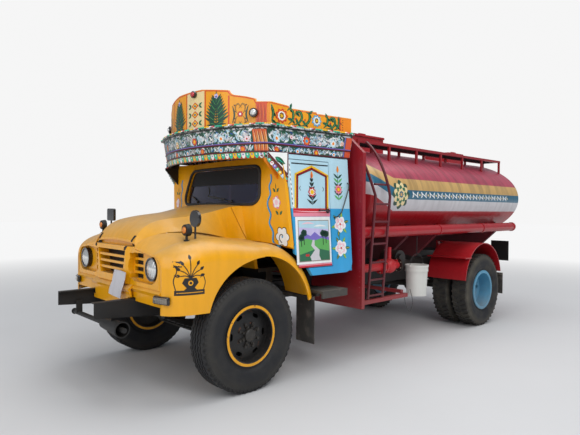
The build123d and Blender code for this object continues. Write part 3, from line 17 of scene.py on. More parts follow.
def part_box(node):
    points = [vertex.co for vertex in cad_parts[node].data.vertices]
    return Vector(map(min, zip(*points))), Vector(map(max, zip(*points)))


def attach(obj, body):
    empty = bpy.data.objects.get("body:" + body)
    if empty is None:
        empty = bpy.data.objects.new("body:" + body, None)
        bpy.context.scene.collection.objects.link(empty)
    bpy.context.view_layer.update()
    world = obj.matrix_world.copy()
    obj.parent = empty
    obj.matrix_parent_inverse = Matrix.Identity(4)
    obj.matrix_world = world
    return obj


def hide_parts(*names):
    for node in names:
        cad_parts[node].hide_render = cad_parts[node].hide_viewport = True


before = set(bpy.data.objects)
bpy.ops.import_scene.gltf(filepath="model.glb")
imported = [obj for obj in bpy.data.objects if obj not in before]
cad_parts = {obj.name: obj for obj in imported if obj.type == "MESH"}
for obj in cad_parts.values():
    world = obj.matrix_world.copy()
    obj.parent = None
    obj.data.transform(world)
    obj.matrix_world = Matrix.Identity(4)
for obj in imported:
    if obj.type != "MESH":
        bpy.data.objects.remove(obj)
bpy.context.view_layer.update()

LOG = logging.getLogger("truck")
Point2 = tuple[float, float]

FRONT_X = 2.340
REAR_X = -1.900
HUB_Z = 0.520
FRONT_TRACK_Y = 0.952
REAR_OUTER_Y = 1.056
REAR_INNER_Y = 0.746
CROWN_Z = 2.482
CANOPY_LOW = 2.222
CANOPY_REAR = FRONT_X - 1.335
SIDES = (("left", 1), ("right", -1))
FORWARD = Vector((1, 0, 0))
UP = Vector((0, 0, 1))


def linear(code: str) -> tuple[float, float, float, float]:
    """Turn a written colour into linear light.

    Args:
        code: Six hex digits, red first.

    Returns:
        Red, green, blue and alpha.
    """
    parts = [int(code[i:i + 2], 16) / 255 for i in (0, 2, 4)]
    light = [c / 12.92 if c <= 0.04045 else ((c + 0.055) / 1.055) ** 2.4 for c in parts]
    return light[0], light[1], light[2], 1.0


class Paint(Enum):
    """The sign painter's pots and the workshop's finishes."""

    YELLOW = "f0a806"
    ORANGE = "ee8a1c"
    GROUND = "f2a31b"
    POST_RED = "d8502a"
    RED = "c8202a"
    PINK = "e58a9c"
    ROSE = "f4c9d4"
    WHITE = "eef0ee"
    CREAM = "ecd7a0"
    PALE_BLUE = "b4d8e6"
    SKY_BLUE = "2f9fd6"
    STRIPE_BLUE = "1d6480"
    DEEP_BLUE = "23549a"
    PURPLE = "7a6cc0"
    LILAC = "c9c0e6"
    GREEN = "2a6b4c"
    DARK_GREEN = "1f4a3a"
    TURQUOISE = "2bbf9a"
    LEAF = "5fae5a"
    BRIGHT_YELLOW = "f2c21a"
    STRIPE_YELLOW = "c9a262"
    STRIPE_WHITE = "cccace"
    TANK_RED = "a5141f"
    TANK_TOP = "a83a50"
    BULK_RED = "8f0f1c"
    PRIMER = "6b3a2a"
    RUST = "5a3320"
    DUST = "8d8579"
    BLACK = "141416"
    SOOT = "131314"
    OIL = "1a1816"
    RIM_BLUE = "4f9cc0"
    RUBBER = "1b1c20"
    MUD = "77705f"
    PLASTIC = "dcdcd6"
    MAROON = "5d1320"
    FLAP_GREY = "3f3c39"

    @property
    def light(self) -> tuple[float, float, float, float]:
        """The pot's colour in linear light."""
        return linear(self.value)


@dataclass
class NodeBench:
    """Lays out nodes in one node tree."""

    tree: bpy.types.NodeTree

    def give(self, target: bpy.types.NodeSocket, value: Any) -> None:
        """Set an input to a value, or link it to a socket."""
        if isinstance(value, bpy.types.NodeSocket):
            self.tree.links.new(value, target)
        else:
            target.default_value = value

    def put(self, kind: str, inputs: dict[Any, Any] | None = None, **settings: Any) -> bpy.types.Node:
        """Add one node.

        Args:
            kind: The node's Blender type.
            inputs: Values or sockets by input name or number.
            settings: Properties set on the node.

        Returns:
            The new node.
        """
        node = self.tree.nodes.new(kind)
        for key, value in settings.items():
            setattr(node, key, value)
        for key, value in (inputs or {}).items():
            self.give(node.inputs[key], value)
        return node

    def math(self, operation: str, *values: Any, clamp: bool = False) -> bpy.types.NodeSocket:
        """Add a Math node and give its result.

        Args:
            operation: The node's operation.
            values: Numbers or sockets, in order.
            clamp: Whether the result is kept between 0 and 1.

        Returns:
            The result's socket.
        """
        inputs = dict(enumerate(values))
        return self.put("ShaderNodeMath", inputs, operation=operation, use_clamp=clamp).outputs[0]

    def blend(self, factor: Any, first: Any, second: Any, mode: str = "MIX") -> bpy.types.NodeSocket:
        """Mix two colours.

        Args:
            factor: Number or socket.
            first: Colour or socket.
            second: Colour or socket.
            mode: The blend type.

        Returns:
            The mixed colour's socket.
        """
        inputs = {0: factor, 6: first, 7: second}
        return self.put("ShaderNodeMix", inputs, data_type="RGBA", blend_type=mode).outputs[2]

    def spot(self) -> bpy.types.NodeSocket:
        """Give the Object coordinates."""
        return self.put("ShaderNodeTexCoord").outputs["Object"]

    def parts(self, vector: Any) -> Any:
        """Split a vector into its x, y and z sockets."""
        return self.put("ShaderNodeSeparateXYZ", {0: vector}).outputs

    def facing_up(self) -> bpy.types.NodeSocket:
        """Give how far the surface faces up."""
        return self.parts(self.put("ShaderNodeNewGeometry").outputs["Normal"])[2]

    def length(self, vector: Any) -> bpy.types.NodeSocket:
        """Give a vector's length."""
        return self.put("ShaderNodeVectorMath", {0: vector}, operation="LENGTH").outputs["Value"]

    def stretch(self, spot: Any, scale: tuple[float, float, float]) -> bpy.types.NodeSocket:
        """Scale coordinates by axis."""
        return self.put("ShaderNodeMapping", {"Vector": spot, "Scale": scale}).outputs[0]

    def grey(self, value: Any) -> bpy.types.NodeSocket:
        """Turn a number into a grey."""
        return self.put("ShaderNodeCombineColor", {0: value, 1: value, 2: value}).outputs[0]

    def noise(self, spot: Any, scale: float, detail: float = 2.0, rough: float = 0.5) -> bpy.types.NodeSocket:
        """Add a noise texture.

        Args:
            spot: Coordinates.
            scale: Its scale.
            detail: Its detail.
            rough: Its roughness.

        Returns:
            The noise value's socket.
        """
        inputs = {"Vector": spot, "Scale": scale, "Detail": detail, "Roughness": rough}
        return self.put("ShaderNodeTexNoise", inputs).outputs[0]

    def ramp(self, value: Any, start: Any, end: Any, first: float, last: float) -> bpy.types.NodeSocket:
        """Map a number's range onto another.

        Args:
            value: The number.
            start: Where its range starts.
            end: Where its range ends.
            first: Result at the start.
            last: Result at the end.

        Returns:
            The result's socket.
        """
        inputs = {"Value": value, "From Min": start, "From Max": end, "To Min": first, "To Max": last}
        return self.put("ShaderNodeMapRange", inputs).outputs[0]

    def bump(self, height: Any, strength: float, distance: float) -> bpy.types.NodeSocket:
        """Turn a height into a normal."""
        inputs = {"Height": height, "Strength": strength, "Distance": distance}
        return self.put("ShaderNodeBump", inputs).outputs[0]

    def from_axle(self, spot: Any, x: float, z: float) -> bpy.types.NodeSocket:
        """Give the distance from an axle that lies along Y."""
        parts = self.parts(spot)
        across = {0: self.math("SUBTRACT", parts[0], x), 2: self.math("SUBTRACT", parts[2], z)}
        return self.length(self.put("ShaderNodeCombineXYZ", across).outputs[0])

    def steps(self, level: Any, first: Paint, edges: Sequence[tuple[float, Paint]], sharp: float) -> Any:
        """Change the colour at each edge that a number passes.

        Args:
            level: The number.
            first: The colour before the first edge.
            edges: Each edge with the colour past it.
            sharp: How sharp the edges are.

        Returns:
            The colour or its socket.
        """
        colour: Any = first.light
        for edge, paint in edges:
            over = self.math("MULTIPLY", self.math("SUBTRACT", level, edge), sharp, clamp=True)
            colour = self.blend(over, colour, paint.light)
        return colour


@dataclass(frozen=True)
class GroupSocket:
    """One named socket of a node group."""

    name: str
    kind: str
    default: Any = None


def group_tree(
    name: str, kind: str, inputs: Sequence[GroupSocket], outputs: Sequence[GroupSocket]
) -> bpy.types.NodeTree:
    """Start a node group with its sockets.

    Args:
        name: The group's name.
        kind: Its Blender type.
        inputs: Its inputs.
        outputs: Its outputs.

    Returns:
        The empty group.
    """
    tree = bpy.data.node_groups.new(name, kind)
    for way, sockets in (("INPUT", inputs), ("OUTPUT", outputs)):
        for socket in sockets:
            made = tree.interface.new_socket(socket.name, in_out=way, socket_type=socket.kind)
            if socket.default is not None:
                made.default_value = socket.default
    return tree


class Grime:
    """The wear that every painted surface shares: mottling, streaks, chips and road dust."""

    _tree: bpy.types.NodeTree | None = None

    @classmethod
    def tree(cls) -> bpy.types.NodeTree:
        """Give the group, built once."""
        if cls._tree is None:
            cls._tree = cls._build()
        return cls._tree

    @staticmethod
    def _build() -> bpy.types.NodeTree:
        """Build the group's nodes."""
        inputs = (
            GroupSocket("Paint", "NodeSocketColor", (0.8, 0.8, 0.8, 1)),
            GroupSocket("Under", "NodeSocketColor", Paint.RUST.light),
            GroupSocket("Dirt", "NodeSocketColor", Paint.DUST.light),
            GroupSocket("Roughness", "NodeSocketFloat", 0.4),
            GroupSocket("Chips", "NodeSocketFloat", 0.4),
            GroupSocket("Dust", "NodeSocketFloat", 0.4),
            GroupSocket("Dust Top", "NodeSocketFloat", 1.2),
            GroupSocket("Dents", "NodeSocketFloat", 0.3),
        )
        outputs = (
            GroupSocket("Color", "NodeSocketColor"),
            GroupSocket("Roughness", "NodeSocketFloat"),
            GroupSocket("Height", "NodeSocketFloat"),
        )
        tree = group_tree("grime", "ShaderNodeTree", inputs, outputs)
        bench = NodeBench(tree)
        given = bench.put("NodeGroupInput").outputs
        spot = bench.spot()
        mottle = bench.noise(spot, 1.9, 5.0)
        fine = bench.noise(spot, 17.0, 8.0, 0.7)
        streak = bench.noise(bench.stretch(spot, (13.0, 13.0, 0.8)), 1.0, 4.0)
        low = bench.ramp(bench.parts(spot)[2], 0.05, given["Dust Top"], 1.0, 0.0)
        broken = bench.math("MULTIPLY_ADD", fine, 1.3, 0.1)
        low = bench.math("MULTIPLY", bench.math("POWER", low, 1.5), broken)
        lying = bench.ramp(bench.facing_up(), 0.45, 1.0, 0.0, 0.55)
        lying = bench.math("MULTIPLY", lying, bench.math("MULTIPLY_ADD", mottle, 1.2, -0.1))
        dust = bench.math("MULTIPLY", bench.math("ADD", low, lying), given["Dust"], clamp=True)
        edge = bench.math("MULTIPLY_ADD", given["Chips"], -0.17, 0.82)
        chips = bench.math("MULTIPLY", bench.math("SUBTRACT", fine, edge), 26.0, clamp=True)
        clouded = bench.math("MULTIPLY_ADD", mottle, 0.34, 0.83)
        shade = bench.math("MULTIPLY", clouded, bench.math("MULTIPLY_ADD", streak, 0.26, 0.87))
        paint = bench.blend(1.0, given["Paint"], shade, "MULTIPLY")
        paint = bench.blend(chips, paint, given["Under"])
        paint = bench.blend(dust, paint, given["Dirt"])
        rough = bench.math("ADD", given["Roughness"], bench.math("MULTIPLY", dust, 0.4))
        rough = bench.math("ADD", rough, bench.math("MULTIPLY", chips, 0.25), clamp=True)
        relief = bench.math("MULTIPLY", bench.math("MULTIPLY_ADD", mottle, 1.4, streak), given["Dents"])
        relief = bench.math("SUBTRACT", relief, bench.math("MULTIPLY", chips, 0.03))
        bench.put("NodeGroupOutput", {"Color": paint, "Roughness": rough, "Height": relief})
        return tree


@dataclass(frozen=True)
class Plain:
    """One pot of paint all over."""

    paint: Paint

    def socket(self, bench: NodeBench) -> Any:
        """Give the colour."""
        return self.paint.light


@dataclass(frozen=True)
class Brushed:
    """Colour kept on the mesh by the sign painter."""

    layer: str = "paint"

    def socket(self, bench: NodeBench) -> Any:
        """Read the mesh's colours."""
        return bench.put("ShaderNodeAttribute", attribute_name=self.layer).outputs["Color"]


@dataclass(frozen=True)
class Faded:
    """Paint that has paled where it lies open to the sun."""

    paint: Paint
    pale: Paint
    amount: float = 0.8

    def socket(self, bench: NodeBench) -> Any:
        """Mix the two by how far the surface faces up."""
        cloud = bench.noise(bench.spot(), 2.6, 6.0)
        open_sky = bench.math("MULTIPLY", bench.math("SUBTRACT", bench.facing_up(), 0.25), 1.4, clamp=True)
        pale = bench.math("MULTIPLY", bench.math("MULTIPLY", open_sky, self.amount), cloud)
        return bench.blend(bench.math("MULTIPLY", pale, 1.7, clamp=True), self.paint.light, self.pale.light)


@dataclass(frozen=True)
class Bands:
    """Level bands of colour, which may kick up towards the front."""

    first: Paint
    edges: tuple[tuple[float, Paint], ...]
    kick_x: float = 9.0
    kick_slope: float = 0.0
    axis: int = 2
    wobble: float = 0.0

    def socket(self, bench: NodeBench) -> Any:
        """Build the bands on Object coordinates."""
        spot = bench.spot()
        parts = bench.parts(spot)
        ahead = bench.math("MAXIMUM", bench.math("SUBTRACT", parts[0], self.kick_x), 0.0)
        level = bench.math("SUBTRACT", parts[self.axis], bench.math("MULTIPLY", ahead, self.kick_slope))
        if self.wobble:
            level = bench.math("ADD", level, bench.math("MULTIPLY", bench.noise(spot, 6.0, 3.0), self.wobble))
        return bench.steps(level, self.first, self.edges, 400.0)


@dataclass(frozen=True)
class Streaked:
    """Another source's colour under runs of grime that follow the tank's girth."""

    inner: Any
    amount: float

    def socket(self, bench: NodeBench) -> Any:
        """Darken the colour along narrow runs, most of all on top."""
        spot = bench.spot()
        runs = bench.noise(bench.stretch(spot, (15.0, 1.3, 1.3)), 1.0, 5.0)
        runs = bench.math("MULTIPLY", bench.math("SUBTRACT", runs, 0.46), 7.0, clamp=True)
        top = bench.math("MULTIPLY_ADD", bench.parts(spot)[2], 1.1, -1.75, clamp=True)
        cloud = bench.math("MULTIPLY_ADD", bench.noise(spot, 1.4, 3.0), 1.6, -0.2)
        wet = bench.math("MULTIPLY", bench.math("MULTIPLY", runs, top), cloud)
        share = bench.math("MULTIPLY", wet, self.amount, clamp=True)
        return bench.blend(share, self.inner.socket(bench), Paint.OIL.light)


@dataclass(frozen=True)
class Rings:
    """Rings of colour about a wheel's axis."""

    first: Paint
    edges: tuple[tuple[float, Paint], ...]
    x: float
    z: float

    def socket(self, bench: NodeBench) -> Any:
        """Build the rings on Object coordinates."""
        return bench.steps(bench.from_axle(bench.spot(), self.x, self.z), self.first, self.edges, 600.0)


@dataclass(frozen=True)
class Finish:
    """A named look, whose material is made once."""

    name: str

    def sockets(self, bench: NodeBench) -> dict[str, Any]:
        """Give the shader's inputs by name."""
        return {}

    def material(self) -> bpy.types.Material:
        """Give the material, built once."""
        known = bpy.data.materials.get(self.name)
        if known:
            return known
        made = bpy.data.materials.new(self.name)
        made.use_nodes = True
        bench = NodeBench(made.node_tree)
        shader = made.node_tree.nodes["Principled BSDF"]
        for name, value in self.sockets(bench).items():
            bench.give(shader.inputs[name], value)
        return made


@dataclass(frozen=True)
class Enamel(Finish):
    """Brushed or sprayed paint over metal or board, with its age on it."""

    source: Any
    under: Paint = Paint.RUST
    rough: float = 0.32
    chips: float = 0.35
    dust: float = 0.4
    dust_top: float = 1.2
    dents: float = 0.3
    metallic: float = 0.0
    coat: float = 0.0
    bump: float = 0.25

    def sockets(self, bench: NodeBench) -> dict[str, Any]:
        """Lay the paint with its grime."""
        inputs = {
            "Paint": self.source.socket(bench), "Under": self.under.light, "Roughness": self.rough,
            "Chips": self.chips, "Dust": self.dust, "Dust Top": self.dust_top, "Dents": self.dents,
        }
        grime = bench.put("ShaderNodeGroup", inputs, node_tree=Grime.tree()).outputs
        return {
            "Base Color": grime["Color"], "Roughness": grime["Roughness"],
            "Normal": bench.bump(grime["Height"], self.bump, 0.02),
            "Metallic": self.metallic, "Coat Weight": self.coat, "Coat Roughness": 0.12,
        }

    def material(self) -> bpy.types.Material:
        """Give the material, with the pot's colour for a plain view."""
        made = super().material()
        made.diffuse_color = self.source.paint.light if isinstance(self.source, Plain) else (0.5, 0.5, 0.5, 1)
        return made


@dataclass(frozen=True)
class Glass(Finish):
    """Clear or tinted glass with a film of dust."""

    tint: Paint
    film: float = 0.12

    def sockets(self, bench: NodeBench) -> dict[str, Any]:
        """Tint the glass and haze it."""
        rough = bench.math("MULTIPLY", bench.noise(bench.spot(), 5.0, 6.0), self.film, clamp=True)
        return {"Base Color": self.tint.light, "Transmission Weight": 1.0, "IOR": 1.45, "Roughness": rough}


@dataclass(frozen=True)
class LampGlass(Finish):
    """Pressed lens over a bright reflector, fluted up and down."""

    tint: Paint
    metallic: float = 0.7
    flute: float = 0.012

    def sockets(self, bench: NodeBench) -> dict[str, Any]:
        """Flute the lens."""
        inputs = {"Vector": bench.spot(), "Scale": 1.0 / self.flute / 6.0}
        wave = bench.put("ShaderNodeTexWave", inputs, bands_direction="Y").outputs[1]
        red, green, blue, _ = self.tint.light
        shade = (red * 0.72, green * 0.72, blue * 0.72, 1.0)
        return {
            "Base Color": bench.blend(wave, self.tint.light, shade), "Normal": bench.bump(wave, 0.5, 0.004),
            "Metallic": self.metallic, "Roughness": 0.14, "Coat Weight": 1.0,
        }


@dataclass(frozen=True)
class Rubber(Finish):
    """Tyre and flap rubber: matt, dusty in its hollows, scuffed grey on its faces."""

    name: str = "plain_rubber"
    wheel: tuple[float, float] | None = None
    dust: float = 0.2

    def sockets(self, bench: NodeBench) -> dict[str, Any]:
        """Dust the rubber, most of all round the sidewall's edge."""
        spot = bench.spot()
        cloud = bench.noise(spot, 7.0, 8.0)
        grain = bench.noise(spot, 160.0, 3.0)
        dust = bench.math("MULTIPLY", bench.math("SUBTRACT", cloud, 0.42), 2.6, clamp=True)
        if self.wheel:
            radius = bench.from_axle(spot, *self.wheel)
            band = bench.math("MULTIPLY", bench.math("ABSOLUTE", bench.math("SUBTRACT", radius, 0.47)), 16.0)
            worn = bench.math("SUBTRACT", 1.0, band, clamp=True)
            dust = bench.math("MULTIPLY", bench.math("ADD", dust, worn), 0.5, clamp=True)
        dust = bench.math("MULTIPLY", dust, self.dust)
        colour = bench.blend(dust, Paint.RUBBER.light, Paint.MUD.light)
        colour = bench.blend(bench.math("MULTIPLY", grain, 0.25), colour, Paint.BLACK.light)
        return {
            "Base Color": colour, "Roughness": bench.math("MULTIPLY_ADD", dust, 0.2, 0.66, clamp=True),
            "Normal": bench.bump(grain, 0.2, 0.004),
        }


@dataclass(frozen=True)
class Leather(Finish):
    """Coated seat cloth with a fine grain and rubbed high spots."""

    paint: Paint

    def sockets(self, bench: NodeBench) -> dict[str, Any]:
        """Grain and rub the cloth."""
        spot = bench.spot()
        cells = bench.put("ShaderNodeTexVoronoi", {"Vector": spot, "Scale": 320.0}).outputs["Distance"]
        cloud = bench.noise(spot, 4.0, 5.0)
        shade = bench.math("MULTIPLY_ADD", cloud, 0.5, 0.7)
        return {
            "Base Color": bench.blend(1.0, self.paint.light, shade, "MULTIPLY"),
            "Roughness": bench.math("MULTIPLY_ADD", cloud, 0.25, 0.35),
            "Normal": bench.bump(cells, 0.3, 0.002),
        }


@dataclass(frozen=True)
class Moulded(Finish):
    """Moulded plastic or thick rubber board with a faint grain and stains."""

    paint: Paint
    stained: float = 0.3
    rough: float = 0.5

    def sockets(self, bench: NodeBench) -> dict[str, Any]:
        """Grain and stain the plastic."""
        spot = bench.spot()
        cloud = bench.noise(spot, 9.0, 6.0)
        soiled = bench.math("MULTIPLY", bench.math("SUBTRACT", cloud, 0.5), 4.0 * self.stained, clamp=True)
        return {
            "Base Color": bench.blend(soiled, self.paint.light, Paint.DUST.light),
            "Roughness": bench.math("MULTIPLY_ADD", soiled, 0.3, self.rough, clamp=True),
            "Normal": bench.bump(bench.noise(spot, 400.0), 0.1, 0.002),
        }


@dataclass(frozen=True)
class FloorPaper(Finish):
    """Pale studio paper that glows to white far from the truck."""

    tone: float = 0.62
    glow_from: float = 4.5
    glow: float = 0.90

    def sockets(self, bench: NodeBench) -> dict[str, Any]:
        """Fade the paper into its glow."""
        spot = bench.spot()
        shade = bench.math("MULTIPLY_ADD", bench.noise(spot, 0.7, 4.0), 0.05, self.tone)
        away = bench.math("SUBTRACT", bench.length(spot), self.glow_from)
        fade = bench.math("MULTIPLY", away, 0.11, clamp=True)
        shade = bench.math("MULTIPLY", shade, bench.math("SUBTRACT", 1.0, fade))
        return {
            "Base Color": bench.grey(shade),
            "Emission Color": bench.grey(bench.math("MULTIPLY", fade, self.glow)),
            "Emission Strength": 1.0, "Roughness": 0.9,
        }


def arc_through(a: Point2, b: Point2, c: Point2, steps: int) -> list[Point2]:
    """Sample the circle through three points.

    Args:
        a: Start.
        b: A point on the way.
        c: End.
        steps: How many pieces.

    Returns:
        Points from a to c.
    """
    (ax, ay), (bx, by), (cx, cy) = a, b, c
    d = 2 * (ax * (by - cy) + bx * (cy - ay) + cx * (ay - by))
    ux = ((ax**2 + ay**2) * (by - cy) + (bx**2 + by**2) * (cy - ay) + (cx**2 + cy**2) * (ay - by)) / d
    uy = ((ax**2 + ay**2) * (cx - bx) + (bx**2 + by**2) * (ax - cx) + (cx**2 + cy**2) * (bx - ax)) / d
    radius = math.hypot(ax - ux, ay - uy)
    start = math.atan2(ay - uy, ax - ux)
    middle = math.atan2(by - uy, bx - ux)
    end = math.atan2(cy - uy, cx - ux)
    turn = (end - start) % math.tau
    if (middle - start) % math.tau > turn:
        turn -= math.tau
    return [
        (ux + radius * math.cos(start + turn * i / steps), uy + radius * math.sin(start + turn * i / steps))
        for i in range(steps + 1)
    ]


def run(a: Point2, b: Point2, steps: int) -> list[Point2]:
    """Points on a straight line, ends included."""
    return [(a[0] + (b[0] - a[0]) * i / steps, a[1] + (b[1] - a[1]) * i / steps) for i in range(steps + 1)]


def smooth_line(points: Sequence[Sequence[float]], steps: int = 6) -> list[Any]:
    """Round a line off with a Catmull-Rom curve through its points.

    Args:
        points: The line's points.
        steps: Pieces between two points.

    Returns:
        The denser line.
    """
    ends = [points[0], *points, points[-1]]
    line: list[Any] = []
    for p0, p1, p2, p3 in zip(ends, ends[1:], ends[2:], ends[3:]):
        for i in range(steps):
            t = i / steps
            line.append(tuple(
                0.5 * (2 * p1[k] + (p2[k] - p0[k]) * t + (2 * p0[k] - 5 * p1[k] + 4 * p2[k] - p3[k]) * t**2
                       + (3 * p1[k] - p0[k] - 3 * p2[k] + p3[k]) * t**3)
                for k in range(len(p1))
            ))
    line.append(points[-1])
    return line


def ring(centre: Vector, side: Vector, other: Vector, radius: float, count: int) -> list[Vector]:
    """Give points on a circle, from one direction towards another."""
    turns = (math.tau * k / count for k in range(count))
    return [centre + (side * math.cos(a) + other * math.sin(a)) * radius for a in turns]


def hang(name: str, mesh: bpy.types.Mesh, body: str, smooth: bool) -> bpy.types.Object:
    """Make an object of a mesh and hang it on its body.

    Args:
        name: The piece's name.
        mesh: Its mesh.
        body: The body that it rides on.
        smooth: Whether faces shade smoothly below a sharp angle.

    Returns:
        The object.
    """
    if smooth:
        mesh.shade_smooth()
        mesh.set_sharp_from_angle(angle=math.radians(38))
    made = bpy.data.objects.new(name, mesh)
    bpy.context.scene.collection.objects.link(made)
    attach(made, body)
    LOG.info("%s: %d faces on %s", name, len(mesh.polygons), body)
    return made


@dataclass
class Stock:
    """A mesh being made up from simple worked shapes."""

    verts: list[Vector] = field(default_factory=list)
    faces: list[tuple[int, ...]] = field(default_factory=list)
    tints: list[tuple[float, float, float, float]] = field(default_factory=list)

    def face(self, points: Sequence[Vector], tint: Paint = Paint.WHITE) -> None:
        """Add one face of its own points."""
        first = len(self.verts)
        self.verts.extend(points)
        self.faces.append(tuple(range(first, first + len(points))))
        self.tints.append(tint.light)

    def grid(self, rows: Sequence[Sequence[Vector]], closed: bool = False) -> None:
        """Skin rows of points.

        Args:
            rows: Rows of equal length.
            closed: Whether each row closes on itself.
        """
        first = len(self.verts)
        width = len(rows[0])
        for row in rows:
            self.verts.extend(row)
        for r in range(len(rows) - 1):
            for c in range(width if closed else width - 1):
                a = first + r * width + c
                b = first + r * width + (c + 1) % width
                self.faces.append((a, b, b + width, a + width))
                self.tints.append(Paint.WHITE.light)

    def tube(self, path: Sequence[Vector], radius: float, sides: int = 10) -> None:
        """Run a round bar along a path, with closed ends.

        Args:
            path: Its middle line.
            radius: Its radius.
            sides: Faces round it.
        """
        rings = []
        side = UP
        for i, point in enumerate(path):
            before = path[max(0, i - 1)]
            after = path[min(len(path) - 1, i + 1)]
            aim = (after - before).normalized()
            side = (side - aim * side.dot(aim))
            side = side.normalized() if side.length > 1e-4 else aim.orthogonal().normalized()
            rings.append(ring(point, side, aim.cross(side), radius, sides))
        self.grid(rings, closed=True)
        self.face(rings[0])
        self.face(rings[-1])

    def lathe(self, profile: Sequence[Point2], centre: Vector, axis: Vector, sides: int = 32) -> None:
        """Turn a profile round an axis.

        Args:
            profile: Radius and place along the axis.
            centre: A point on the axis.
            axis: Its direction.
            sides: Faces round it.
        """
        aim = axis.normalized()
        side = aim.orthogonal().normalized()
        other = aim.cross(side)
        rows = [ring(centre + aim * along, side, other, radius, sides) for radius, along in profile]
        self.grid(rows, closed=True)

    def slab(
        self, low: Sequence[float], high: Sequence[float], bevel: float, turn: Matrix | None = None
    ) -> None:
        """Add a block with eased edges.

        Args:
            low: Lowest corner.
            high: Highest corner.
            bevel: The easing's size.
            turn: Placement applied at the end.
        """
        shape = bmesh.new()
        bmesh.ops.create_cube(shape, size=1.0)
        size = [high[k] - low[k] for k in range(3)]
        for vert in shape.verts:
            vert.co = Vector([low[k] + (vert.co[k] + 0.5) * size[k] for k in range(3)])
        eased = min(bevel, min(size) * 0.45)
        edges = list(shape.edges)
        bmesh.ops.bevel(shape, geom=edges, offset=eased, segments=2, profile=0.5, affect="EDGES")
        if turn is not None:
            shape.transform(turn)
        shape.verts.ensure_lookup_table()
        first = len(self.verts)
        self.verts.extend(vert.co.copy() for vert in shape.verts)
        for face in shape.faces:
            self.faces.append(tuple(first + vert.index for vert in face.verts))
            self.tints.append(Paint.WHITE.light)
        shape.free()

    def mesh(self, name: str) -> bpy.types.Mesh:
        """Make the bare mesh."""
        made = bpy.data.meshes.new(name)
        made.from_pydata([tuple(v) for v in self.verts], [], self.faces)
        return made

    def finish(
        self, name: str, finish: Finish, body: str, smooth: bool = True, weld: bool = True
    ) -> bpy.types.Object:
        """Make the object, dress it and hang it on its body.

        Args:
            name: The piece's name.
            finish: Its finish.
            body: The body that it rides on.
            smooth: Whether faces shade smoothly below a sharp angle.
            weld: Whether doubles are merged and normals set outward.

        Returns:
            The finished object.
        """
        mesh = self.mesh(name)
        layer = mesh.color_attributes.new("paint", "FLOAT_COLOR", "CORNER")
        values: list[float] = []
        for face, tint in zip(self.faces, self.tints):
            values.extend(tint * len(face))
        layer.data.foreach_set("color", values)
        if weld:
            work = bmesh.new()
            work.from_mesh(mesh)
            bmesh.ops.remove_doubles(work, verts=work.verts, dist=1e-5)
            bmesh.ops.recalc_face_normals(work, faces=work.faces)
            work.to_mesh(mesh)
            work.free()
        mesh.materials.append(finish.material())
        return hang(name, mesh, body, smooth)


